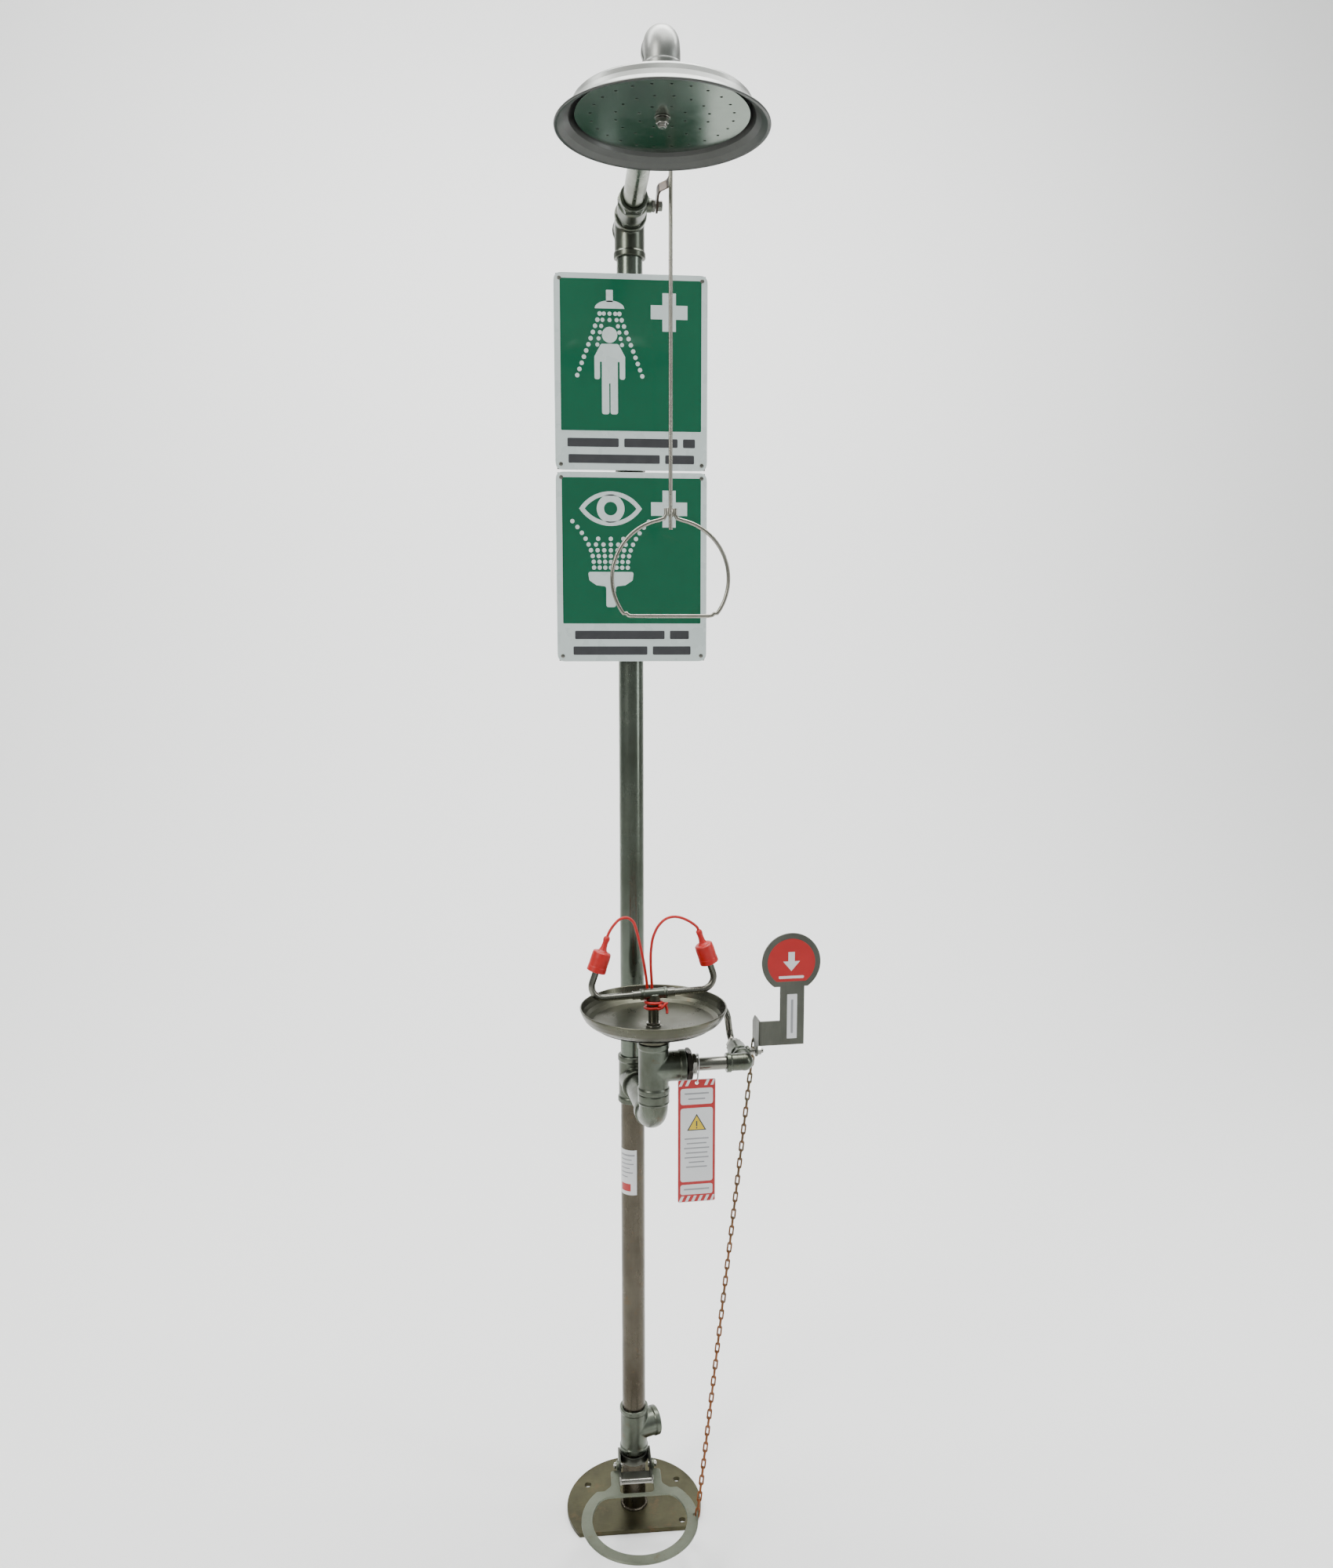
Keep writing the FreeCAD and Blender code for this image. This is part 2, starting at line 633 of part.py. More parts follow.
def build_spray():
    z = D["spray_z"]
    clear = D["clearance"]
    tee = cut(
        fuse(
            cyl(8.4, 44, (-22, 0, z), "x"),
            cyl(9.2, 5, (-22, 0, z), "x"),
            cyl(9.2, 5, (17, 0, z), "x"),
            cyl(10.6, 19, (0, 0, z - 19)),
        ),
        cyl(5, 50, (-25, 0, z), "x"),
        cyl(7.05, 8, (-23, 0, z), "x"),
        cyl(7.05, 8, (15, 0, z), "x"),
        cyl(D["riser_od"] / 2 + clear, 10, (0, 0, z - 20)),
        cyl(6, 20, (0, 0, z - 20)),
    )
    part("spray_tee", moved(tee, bowl_axis, spray_yaw))
    lean = math.radians(num("spray_lean"))
    bend = num("spray_bend")
    height = z.value
    arms = []
    nozzles = []
    caps = {}
    for side in (-1, 1):
        def at(distance, forward=0.0):
            return V(side * (bend - distance * math.sin(lean)), forward, height + distance * math.cos(lean))

        up = V(-side * math.sin(lean), 0, math.cos(lean))
        points = [(side * 15.2, 0, height), (side * bend, 0, height), tuple(at(62))]
        arm = swept(points, [20], num("spray_od") / 2)
        arm = arm.fuse(Part.makeCylinder(7, 20, V(side * 15.2, 0, height), V(side, 0, 0)))
        arm = arm.cut(swept([(side * 14, 0, height), (side * bend, 0, height), tuple(at(63))], [20], 3.9))
        arms.append(arm)
        nozzle = Part.makeCylinder(8.4, 22, at(52), up)
        nozzle = nozzle.fuse(Part.makeCone(8.4, 10.6, 6, at(68), up))
        nozzle = nozzle.cut(Part.makeCylinder(num("spray_od") / 2 + 0.05, 10.1, at(52), up))
        nozzle = nozzle.cut(Part.makeCylinder(4.2, 30, at(50), up))
        nozzles.append(nozzle)
        cap_r = num("cap_radius")
        cap = Part.makeCone(cap_r + 0.4, cap_r - 0.6, 33, at(47), up)
        cap = cap.fuse(Part.makeCone(9.5, 5.2, 5, at(80), up))
        cap = cap.fuse(Part.makeCylinder(4.6, 18, at(82), up))
        cap = cap.fuse(Part.makeSphere(4.9, at(101)))
        cap = cap.cut(Part.makeCylinder(11.2, 29, at(46.5), up))
        cap = cap.cut(Part.makeCylinder(num("strap_dia") / 2 + 0.02, 9, at(100), up))
        caps[side] = cap
    feature("spray_arms", Part.makeCompound(arms), bowl_axis, spray_yaw)
    feature("spray_nozzles", Part.makeCompound(nozzles), bowl_axis, spray_yaw)
    feature("left_dust_cap", caps[-1], bowl_axis, spray_yaw)
    feature("right_dust_cap", caps[1], bowl_axis, spray_yaw)
    build_straps(bend, height, lean)


def build_straps(bend, height, lean):
    """Soft straps from each cap to a tied loop round the branch of the spray tee."""
    radius = num("strap_dia") / 2
    routes = {
        "left_strap": [
            (-(bend - 100.3 * math.sin(lean)), 0, height + 100.3 * math.cos(lean)),
            (-(bend - 112.3 * math.sin(lean)), 0, height + 112.3 * math.cos(lean)),
            (-65.4, 0.5, 1165.6), (-55.0, 1.5, 1175.0), (-42.0, 3.0, 1176.1), (-31.4, 4.5, 1167.8),
            (-25.2, 7.0, 1148.8), (-19.0, 10.0, 1125.0), (-12.5, 13.0, 1097.0), (-7.5, 15.2, 1068.0),
            (-5.0, 15.6, 1040.6),
        ],
        "right_strap": [
            (bend - 100.3 * math.sin(lean), 0, height + 100.3 * math.cos(lean)),
            (bend - 110.6 * math.sin(lean), 0, height + 110.6 * math.cos(lean)),
            (63.0, 0.5, 1161.6), (48.5, 1.5, 1169.5), (34.0, 3.0, 1172.5), (20.0, 4.5, 1168.5),
            (8.5, 7.0, 1156.0), (1.0, 9.5, 1137.0), (-1.5, 12.0, 1112.0), (-0.5, 14.0, 1085.0),
            (1.5, 15.4, 1060.0), (2.2, 15.8, 1040.6),
        ],
    }
    for name, route in routes.items():
        radii = cord_radii(route)
        wire = path_wire(route, radii)
        tube = swept(route, radii, radius)
        expected = math.pi * radius ** 2 * wire.Length
        print(name, "radii", [round(r, 1) for r in radii], "length", round(wire.Length, 1),
              "volume ratio", round(tube.Volume / expected, 4))
        feature(name, tube, bowl_axis, spray_yaw)
    loops = []
    for low, tilt in ((1034.3, V(0.06, 0.05, 1)), (1026.0, V(-0.05, 0.08, 1))):
        loops.append(torus(13.7, D["strap_dia"] / 2, (0, 0, low), FreeCAD.Rotation(Z_AXIS, tilt)))
    part("strap_knot", moved(group(*loops), bowl_axis, spray_yaw))


# ---------------------------------------------------------------- shower valve, arm and head
def build_shower_valve():
    clear = D["clearance"]
    z = D["arm_z"]
    low = z - D["inlet_drop"]
    outer = fuse(
        cyl(fit_r, D["inlet_drop"], (0, 0, low)),
        cyl(collar_r, D["collar_len"], (0, 0, low)),
        cyl(fit_r, 83, (0, -36, z), "y"),
        cyl(collar_r, D["collar_len"], (0, -36, z), "y"),
        cyl(collar_r, D["collar_len"], (0, 37, z), "y"),
    )
    hollow = fuse(
        cyl(bore_r, D["inlet_drop"], (0, 0, low - 1)),
        cyl(socket_r, deep, (0, 0, low)),
        cyl(D["arm_id"] / 2 + 1, 100, (0, -50, z), "y"),
        cyl(socket_r, deep, (0, 32.5, z), "y"),
        cyl(17.05, 13, (0, -36.5, z), "y"),
    )
    part("supply_inlet_tee", cut(outer, hollow))
    y = -D["valve_y"]
    body = cut(
        fuse(
            cyl(17, 13, (0, -24, z), "-y"),
            hexagon(43, 13, (0, -36.3, z), "-y"),
            cyl(23.5, 46, (0, y + 26, z), "-y"),
            hexagon(43, 15, (0, y - 18, z), "-y"),
            cyl(22, 6, (0, -(D["valve_front"] - 6), z), "-y"),
            cyl(10, 30.5, (0, y, z), "x"),
        ),
        cyl(12.5, 100, (0, -20, z), "-y"),
        cyl(17.9, 38, (0, y + 19, z), "-y"),
        cyl(D["arm_od"] / 2 + clear, 14, (0, -(D["valve_front"] - 13), z), "-y"),
        cyl(4.55, 40, (0, y, z), "x"),
    )
    part("shower_valve_body", body)
    bore = cyl(D["ball_bore"] / 2, 60, (0, y, z - 30), "z")
    part("shower_valve_ball", cut(
        ball(D["ball_dia"] / 2, (0, y, z)),
        bore,
        cyl(4.5, 6, (14, y, z), "x"),
    ))
    part("shower_valve_stem", cut(
        cyl(4.5, 34, (14, y, z), "x"),
        cyl(D["ball_bore"] / 2, 60, (0, y, z - 30), "z"),
    ))
    seats = []
    for sign in (-1, 1):
        start = y + 17.5 * sign if sign < 0 else y + 10
        seats.append(cut(
            cyl(17.8, 7.5, (0, start, z), "y"),
            cyl(12.5, 20, (0, start - 5, z), "y"),
            ball(D["ball_dia"] / 2 + clear, (0, y, z)),
        ))
    u = D["elbow_u"]
    w = D["small_w"]
    for low_w in (-11.5, 6):
        ring = cut(
            cyl(12.1, 5.5, (u, w + low_w, feed_z), "y"),
            cyl(6, 20, (u, w + low_w - 5, feed_z), "y"),
            ball(D["small_ball"] / 2 + clear, (u, w, feed_z)),
        )
        moved(ring, bowl_axis, feed_yaw)
        seats.append(ring)
    part("valve_seats", group(*seats))
    small_gland = cut(
        cyl(6, 6, (u + 19.2, w, feed_z), "x"),
        cyl(4.0, 20, (u + 15, w, feed_z), "x"),
    )
    moved(small_gland, bowl_axis, feed_yaw)
    gland = cut(
        hexagon(17, 5, (30.7, y, z), "x"),
        cyl(4.55, 20, (25, y, z), "x"),
    )
    part("gland_nuts", group(gland, small_gland))
    build_lever(y, z)


def build_lever(y, z):
    """A cranked flat lever; the valve is closed when it points up and forward."""
    thick = num("lever_thick")
    wide = num("lever_wide")
    inner = 37.0
    outer = num("lever_offset")
    length = num("lever_reach")
    corners = [
        (inner, -15), (inner, 27), (outer, 41), (outer, length + 14),
        (outer + thick, length + 14), (outer + thick, 39.6), (inner + thick, 25.6), (inner + thick, -15),
    ]
    wire = Part.makePolygon([V(a, -b, -wide / 2) for a, b in corners + corners[:1]])
    lever = Part.Face(wire).extrude(V(0, 0, wide))
    lever = lever.common(
        Part.makeBox(60, length + 1, wide, V(20, -length, -wide / 2)).fuse([
            Part.makeCylinder(wide / 2, 60, V(20, 0, 0), V(1, 0, 0)),
            Part.makeCylinder(wide / 2, 60, V(20, -length, 0), V(1, 0, 0)),
        ])
    )
    lever = lever.cut(Part.makeCylinder(4.52, 60, V(20, 0, 0), V(1, 0, 0)))
    lever = lever.cut(Part.makeCylinder(num("rod_dia") / 2 + 0.08, 60, V(20, -length, 0), V(1, 0, 0)))
    lever.rotate(V(0, 0, 0), V(1, 0, 0), -num("lever_angle"))
    feature("shower_lever", lever, (0, y.value, z.value))
    part("lever_nut", cut(
        hexagon(14, 7, (40.15, y, z), "x"),
        cyl(4.52, 20, (35, y, z), "x"),
    ))
    angle = math.radians(num("lever_angle"))
    tip_y = y.value - length * math.cos(angle)
    tip_z = z.value + length * math.sin(angle)
    rod_r = num("rod_dia") / 2
    x = num("rod_x")
    low = num("handle_z") + num("handle_radius") - 4
    rod_points = [(outer + thick + 6, tip_y, tip_z), (x, tip_y, tip_z), (x, tip_y, low - 12)]
    feature("pull_rod", swept(rod_points, [rod_r + 0.6], rod_r))
    build_handle(x, tip_y, rod_r)


def build_handle(x, y, rod_r):
    """The loop is bent from the same wire and welded beside the rod's lower end."""
    radius = num("handle_radius")
    chord = num("handle_chord")
    centre = num("handle_z")
    step = 20
    top = [V(x + rod_r * 2 + 0.1, y, centre + radius + 24), V(x + rod_r * 2 + 0.1, y, centre + radius + 2)]
    half_chord = math.sqrt(radius ** 2 - chord ** 2)
    start = math.radians(82)
    end = -math.asin(chord / radius)
    right = [start + (end - start) * i / step for i in range(step + 1)]
    arc = Part.Arc(
        V(x + radius * math.cos(right[0]), y, centre + radius * math.sin(right[0])),
        V(x + radius * math.cos(right[step // 2]), y, centre + radius * math.sin(right[step // 2])),
        V(x + radius * math.cos(right[-1]), y, centre + radius * math.sin(right[-1])),
    ).toShape()
    left = Part.Arc(
        V(x - radius * math.cos(right[-1]), y, centre + radius * math.sin(right[-1])),
        V(x - radius * math.cos(right[step // 2]), y, centre + radius * math.sin(right[step // 2])),
        V(x - radius * math.cos(right[0]), y, centre + radius * math.sin(right[0])),
    ).toShape()
    bar = Part.LineSegment(V(x + half_chord, y, centre - chord), V(x - half_chord, y, centre - chord)).toShape()
    loop = None
    for edge in (arc, bar, left):
        begin = edge.Vertexes[0].Point
        direction = edge.tangentAt(edge.FirstParameter)
        ring = Part.Wire([Part.Circle(begin, direction, rod_r).toShape()])
        piece = Part.Wire([edge]).makePipeShell([ring], True, False)
        loop = piece if loop is None else loop.fuse(piece)
    for corner_x in (x - half_chord, x + half_chord):
        loop = loop.fuse(Part.makeSphere(rod_r, V(corner_x, y, centre - chord)))
    for side in (-1, 1):
        shoulder = V(x + side * radius * math.cos(start), y, centre + radius * math.sin(start))
        lift = V(x + side * (rod_r * 2 + 0.4), y, centre + radius + 12 + 4 * side)
        loop = loop.fuse(Part.makeSphere(rod_r, shoulder))
        loop = loop.fuse(Part.makeCylinder(rod_r, (lift - shoulder).Length, shoulder, lift - shoulder))
    loop = loop.cut(Part.makeCylinder(rod_r + 0.05, 60, V(x, y, centre + radius - 18), Z_AXIS))
    feature("pull_handle", loop)


def build_shower_head():
    clear = D["clearance"]
    z = D["arm_z"]
    reach_y = D["head_reach"]
    start = -(D["valve_front"] - 13)
    arm = cut(
        cyl(D["arm_od"] / 2, reach_y - 30 - (D["valve_front"] - 13), (0, start - clear, z), "-y"),
        cyl(D["arm_id"] / 2, reach_y, (0, -20, z), "-y"),
    )
    part("shower_arm", arm)
    corner = reach_y.value
    height = z.value
    points = [(0, 42, 0), (0, 0, 0), (0, 0, -38)]
    outer = swept(points, [24], 20.5)
    outer = outer.fuse(Part.makeCylinder(21.6, 10, V(0, 32, 0), V(0, 1, 0)))
    inner = swept([(0, 43, 0), (0, 0, 0), (0, 0, -39)], [24], 13.6)
    inner = inner.fuse(Part.makeCylinder(num("arm_od") / 2 + 0.05, 13, V(0, 29.8, 0), V(0, 1, 0)))
    feature("shower_elbow", outer.cut(inner).removeSplitter(), (0, -corner, height))
    centre = (0, -corner, 0)
    rim = D["rim_z"]
    radius = D["head_radius"]
    shell = D["head_shell"]
    top = z - 38.2
    profile = [
        (13.6, top), (20.5, top), (20.5, top - 6), (23, top - 7.5), (23, top - 11), (31, top - 15),
        (48, top - 19.5), (96, rim + 29), (100, rim + 27.6), (103.5, rim + 24), (106, rim + 18),
        (112, rim + 9), (radius - 2, rim + 3), (radius, rim + 1), (radius - 0.4, rim),
        (radius - 3, rim), (radius - 5, rim + 3.4), (110.5, rim + 9), (104.4, rim + 18),
        (102, rim + 23.4), (99.2, rim + 26), (95.4, rim + 27.4), (47.5, top - 19.5 - shell),
        (28, top - 17), (13.6, top - 14),
    ]
    part("shower_head", moved(revolved(profile), centre))
    face_z = D["face_z"]
    plate = cyl(D["face_radius"], 1.2, (0, 0, face_z))
    holes = []
    for count, ring in ((8, 28), (16, 54), (24, 82)):
        for i in range(count):
            angle = 2 * math.pi * i / count + ring * 0.01
            holes.append(cyl(1.6, 6, (ring * math.cos(angle), ring * math.sin(angle), face_z - 2)))
    holes.append(cyl(4.05, 6, (0, 0, face_z - 2)))
    part("shower_face_plate", moved(cut(plate, *holes), centre))
    spider_low = face_z - 12
    bolt = fuse(
        cyl(4.0, 44, (0, 0, spider_low)),
        cyl(13.5, 3, (0, 0, spider_low + 41)),
        cyl(9, 1.2, (0, 0, face_z - 1.4)),
    )
    part("face_plate_bolt", moved(bolt, centre))
    nut = cut(
        fuse(hexagon(13, 6, (0, 0, face_z - 7.6)), cyl(5.6, 3, (0, 0, face_z - 10.6))),
        cyl(4.03, 20, (0, 0, face_z - 14)),
    )
    part("face_plate_nut", moved(nut, centre))


# ---------------------------------------------------------------- signs
def build_signs():
    wide = D["sign_wide"]
    tall = D["sign_tall"]
    thick = D["sign_thick"]
    front = D["sign_front"]
    tops = {
        "shower_sign": D["sign_top"],
        "eyewash_sign": D["sign_top"] - tall - D["sign_gap"],
    }
    rivets = []
    brackets = []
    for name, top in tops.items():
        low = top - tall
        corner = 8
        shape = [
            (-wide / 2 + corner, low), (wide / 2 - corner, low), (wide / 2, low + corner),
            (wide / 2, top - corner), (wide / 2 - corner, top), (-wide / 2 + corner, top),
            (-wide / 2, top - corner), (-wide / 2, low + corner),
        ]
        body = padded(shape, thick, "XZ_Plane")
        holes = []
        for sx in (-1, 1):
            for height in (low + 9, top - 9):
                holes.append(cyl(2.05, 10, (wide / 2 * sx - 9 * sx, -5, height), "y"))
        panel = cut(body, *holes)
        place(panel, (0, -front + thick, 0))
        part(name, panel)
        for height in (low + 9, top - 9):
            for sx in (-1, 1):
                x = wide / 2 * sx - 9 * sx
                rivets.append(fuse(
                    cyl(2.0, thick + D["rail_thick"] + 1, (x, -front - 0.2, height), "y"),
                    cyl(3.4, 1.1, (x, -front - 1.2, height), "y"),
                ))
            rail_y = -front + thick + 0.1
            rail = fuse(
                box(wide - 6, D["rail_thick"], D["rail_tall"], (-wide / 2 + 3, rail_y, height - D["rail_tall"] / 2)),
                cyl(25, 14, (0, 0, height - 7)),
                box(24, 12, 14, (-12, rail_y + 1, height - 7)),
            )
            brackets.append(cut(
                rail,
                cyl(pole_r + 0.3, 40, (0, 0, height - 20)),
                cyl(2.05, 12, (wide / 2 - 9, rail_y - 4, height), "y"),
                cyl(2.05, 12, (-wide / 2 + 9, rail_y - 4, height), "y"),
            ))
    part("sign_rivets", group(*rivets))
    part("sign_brackets", group(*brackets))


# ---------------------------------------------------------------- pedal, chain and tag
def build_pedal():
    y = -D["hinge_y"]
    z = D["hinge_z"]
    clear = D["clearance"]
    bracket = cut(
        fuse(
            cyl(26, 16, (0, 0, z - 8)),
            box(4, 44, 22, (-30, y - 10, z - 11)),
            box(4, 44, 22, (26, y - 10, z - 11)),
            box(60, 8, 10, (-30, -4, z - 5)),
            box(56, 24, 3, (-28, y - 31, z - 11)),
            box(4, 27, 8, (-30, y - 31, z - 11)),
            box(4, 27, 8, (26, y - 31, z - 11)),
        ),
        cyl(pole_r + clear, 60, (0, 0, z - 30)),
        cyl(3.05, 80, (-40, y, z), "x"),
    )
    part("pedal_bracket", bracket)
    plate_z = D["pedal_z"] - D["pedal_thick"] / 2
    centre_y = -D["pedal_centre"]
    outer = cyl(D["pedal_outer"], D["pedal_thick"], (0, centre_y, plate_z))
    outer_cut = box(260, 60, 20, (-130, centre_y + 71, plate_z - 8))
    ring = cut(outer, outer_cut)
    arms = [
        box(15, 62, D["pedal_thick"], (-45.4, centre_y + 62, plate_z)),
        box(15, 62, D["pedal_thick"], (30.4, centre_y + 62, plate_z)),
    ]
    ears = []
    for x in (-34.4, 30.4):
        ears.append(box(4, 22, 9, (x, y - 11, plate_z)))
        ears.append(cyl(8.5, 4, (x, y, z), "x"))
    window = common(
        cyl(D["pedal_inner"], 20, (0, centre_y, plate_z - 8)),
        box(260, 260, 20, (-130, centre_y + 56 - 260, plate_z - 8)),
    )
    webs = []
    for sign in (-1, 1):
        corner = (45.4 + 6.5) * sign
        webs.append(cut(
            box(13, 13, D["pedal_thick"], (corner - 6.5, centre_y + 70, plate_z)),
            cyl(13, 20, (58.4 * sign, centre_y + 84, plate_z - 8)),
        ))
    pedal = cut(
        fuse(ring, *arms, *ears, *webs),
        window,
        cyl(3.05, 100, (-50, y, z), "x"),
        cyl(3.2, 20, (D["pedal_hole_x"], centre_y, plate_z - 8)),
        box(15, 12, 20, (-47, y + 8.5, plate_z - 8)),
    )
    part("foot_pedal", pedal)
    part("pedal_stop_bar", fuse(
        cyl(3.6, 60.4, (-30.2, y - 40, plate_z + 8), "x"),
        box(3, 12, 8, (-30.2, y - 46, plate_z + 4.1)),
        box(3, 12, 8, (27.2, y - 46, plate_z + 4.1)),
        box(60.4, 9, 4.3, (-30.2, y - 44.5, plate_z + 4.05)),
    ))
    bolts = []
    for sign in (-1, 1):
        axis = "x" if sign > 0 else "-x"
        bolts.append(fuse(
            cyl(3.0, 16, (sign * 24, y, z), axis),
            hexagon(10, 4.2, (sign * 34.6, y, z), axis),
            cyl(5.4, 2, (sign * 23.9, y, z), axis),
        ))
    part("pedal_hinge_bolts", group(*bolts))


def chain_ends():
    """The first link hangs in the paddle's hole, the last one round the pedal's edge."""
    lug = feed_point(num("paddle_u") + 1.95, num("small_w") + 15.5, num("feed_z") + 14.7)
    edge = (num("pedal_hole_x") + 4.45, -num("pedal_centre"), num("pedal_z") - 2.6)
    return V(*lug), V(*edge)


def make_link(length, wide, wire):
    """One oval link lying along its own X."""
    radius = (wide - wire) / 2
    straight = length - wide
    link = None
    for side in (-1, 1):
        bar = Part.makeCylinder(wire / 2, straight, V(-straight / 2, side * radius, 0), V(1, 0, 0))
        bend = Part.makeTorus(radius, wire / 2, V(0, 0, 0), Z_AXIS, -180, 180, 180)
        bend.rotate(V(0, 0, 0), Z_AXIS, -90 if side > 0 else 90)
        bend.translate(V(side * straight / 2, 0, 0))
        link = bar if link is None else link.fuse(bar)
        link = link.fuse(bend)
    return link


def build_chain():
    top, low = chain_ends()
    wire = num("link_wire")
    wide = num("link_wide")
    pitch = num("link_pitch")
    run = low - top
    direction = V(run).normalize()
    count = 2 * int(run.Length / pitch / 2) + 1
    pitch = run.Length / count
    length = pitch + 2 * wire + 0.25
    across = V(1, 0, 0) - direction * direction.x
    turn = FreeCAD.Rotation(direction, across, direction.cross(across), "XYZ")
    links = []
    for i in range(count):
        centre = top + direction * (pitch * (i + 0.5))
        link = make_link(length, wide, wire)
        link.rotate(V(0, 0, 0), V(1, 0, 0), 90 * (i % 2))
        link.Placement = FreeCAD.Placement(centre, turn).multiply(link.Placement)
        links.append(link)
    print("chain links", count, "pitch", round(pitch, 3), "length", round(run.Length, 1))
    feature("pull_chain", Part.makeCompound(links))


def build_tag():
    wide = num("tag_wide")
    tall = num("tag_tall")
    top = num("feed_z") - 14
    hang = V(*feed_point(66, -29.0, 0))
    plate = Part.makeBox(wide, num("tag_thick"), tall, V(-wide / 2, 0, -tall))
    plate = plate.makeFillet(3, [e for e in plate.Edges if abs(e.Length - num("tag_thick")) < 1e-6])
    plate = plate.cut(Part.makeCylinder(2.6, 6, V(0, -2, -6), V(0, 1, 0)))
    feature("inspection_tag", plate, (hang.x, hang.y, top), feed_yaw)
    loop = [
        (0, 0.4, -6.0), (0, -3.4, -5.6), (1.5, -3.6, 3.0), (7, 15.6, 22.0), (7, 22.5, 28.3), (7, 35.5, 28.3),
        (7, 43.3, 20.5), (7, 43.3, 7.5), (7, 35.5, -0.3), (6, 22.5, -4.6), (0, 5.5, -6.2), (0, 1.4, -6.05),
    ]
    tie = swept(loop, cord_radii(loop), 0.9)
    feature("tag_tie", tie, (hang.x, hang.y, top), feed_yaw)


build_base()
build_pole()
build_waste_branch()
build_feed_line()
build_bowl()
build_spray()
build_shower_valve()
build_shower_head()
build_signs()
build_pedal()
build_chain()
build_tag()
doc.recompute()

problems = []
for obj in doc.Objects:
    if "Invalid" in obj.State or "Error" in obj.State:
        problems.append("%s (%s) %s" % (obj.Name, obj.Label, obj.State))
for obj in PARTS:
    shape = obj.Shape
    if shape.isNull() or not shape.isValid() or not shape.Solids:
        problems.append("%s has a bad shape" % obj.Label)
if problems:
    raise SystemExit("\n".join(problems))

os.makedirs("parts", exist_ok=True)
for obj in PARTS:
    obj.Shape.exportStep("parts/%s.step" % obj.Label)
    size = obj.Shape.BoundBox
    print("%-20s %3d solids  %8.1f cm3  x %7.1f %7.1f  y %7.1f %7.1f  z %7.1f %7.1f" % (
        obj.Label, len(obj.Shape.Solids), obj.Shape.Volume / 1000.0,
        size.XMin, size.XMax, size.YMin, size.YMax, size.ZMin, size.ZMax))
print(len(PARTS), "parts")
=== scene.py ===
import math
import random
import bmesh
import bpy
from mathutils import Matrix, Vector


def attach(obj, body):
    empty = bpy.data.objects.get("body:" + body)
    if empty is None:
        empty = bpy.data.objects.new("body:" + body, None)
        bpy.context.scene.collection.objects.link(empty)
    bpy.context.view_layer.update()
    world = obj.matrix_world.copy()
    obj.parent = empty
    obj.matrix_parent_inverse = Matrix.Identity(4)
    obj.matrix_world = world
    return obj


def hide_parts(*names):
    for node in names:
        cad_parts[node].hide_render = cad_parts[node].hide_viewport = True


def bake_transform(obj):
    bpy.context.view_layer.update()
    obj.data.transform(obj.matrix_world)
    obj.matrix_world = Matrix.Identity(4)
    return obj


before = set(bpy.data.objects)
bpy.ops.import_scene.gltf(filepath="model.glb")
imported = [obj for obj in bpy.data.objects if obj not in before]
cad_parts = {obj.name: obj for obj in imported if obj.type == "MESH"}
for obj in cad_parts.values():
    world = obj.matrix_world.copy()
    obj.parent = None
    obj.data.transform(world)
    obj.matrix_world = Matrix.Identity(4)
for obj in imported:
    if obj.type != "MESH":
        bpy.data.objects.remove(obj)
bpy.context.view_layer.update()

# Everything below is in millimetres until a piece is finished.
MM = 0.001
WASTE_YAW = math.radians(7)
BOWL_X = 186 * math.sin(WASTE_YAW)
BOWL_Y = -186 * math.cos(WASTE_YAW)
FEED_Z = 925
WASTE_Z = 838
ARM_Z = 2292
POLE_R = 21.2
BORE_R = 18.2  # inside of the pole's pipes
CAST_R = 24.5  # outside of the cast tees
BAND_R = 26.2  # raised bands at the ends of a casting
SOCKET_R = 21.3
TIGHT_SOCKET_R = 21.25
BOSS_Z = 990  # boss on the pole that feeds the eyewash valve
SPRAY_Z = 1048
VALVE_U = 151  # eyewash valve, along the feed line
STEM_W = 46  # its stem, across the feed line
PUSH_CENTRE = (234.5, 1083)
LEVER_Y = -75  # axis of the shower lever
HEAD_Y = -605
PEDAL_Y = -158
SHOWER_SIGN_Z = 1891  # lower edges of the signs
EYEWASH_SIGN_Z = 1578
LEVER_REACH = 150
LEVER_TILT = 40
ROD_X = 49.5


def turned(x, y, z, yaw):
    return Matrix.Translation((x, y, z)) @ Matrix.Rotation(math.radians(yaw), 4, "Z")


WORLD = Matrix.Identity(4)
BOWL = turned(BOWL_X, BOWL_Y, 0, 0)
WASTE = turned(0, 0, 0, 7)
WASTE_BOWL = turned(BOWL_X, BOWL_Y, 0, 7)
FEED = turned(BOWL_X, BOWL_Y, 0, 4)
SPRAY = turned(BOWL_X, BOWL_Y, 0, 11)
OUTLET = turned(0, 0, 0, 20)
AXES = {
    "z": Matrix.Identity(4),
    "x": Matrix.Rotation(math.radians(90), 4, "Y"),
    "y": Matrix.Rotation(math.radians(-90), 4, "X"),
    "-x": Matrix.Rotation(math.radians(-90), 4, "Y"),
    "-y": Matrix.Rotation(math.radians(90), 4, "X"),
}


# ------------------------------------------------------------------ meshes
class Solid:
    """Corners in millimetres, faces, and one material number for each face."""

    def __init__(self, verts=(), faces=(), slot=0):
        self.verts = [Vector(v) for v in verts]
        self.faces = [tuple(f) for f in faces]
        self.slots = [slot] * len(self.faces)

    def moved(self, matrix):
        out = Solid()
        out.verts = [matrix @ v for v in self.verts]
        out.faces = list(self.faces)
        out.slots = list(self.slots)
        return out

    def painted(self, slot):
        self.slots = [slot] * len(self.faces)
        return self


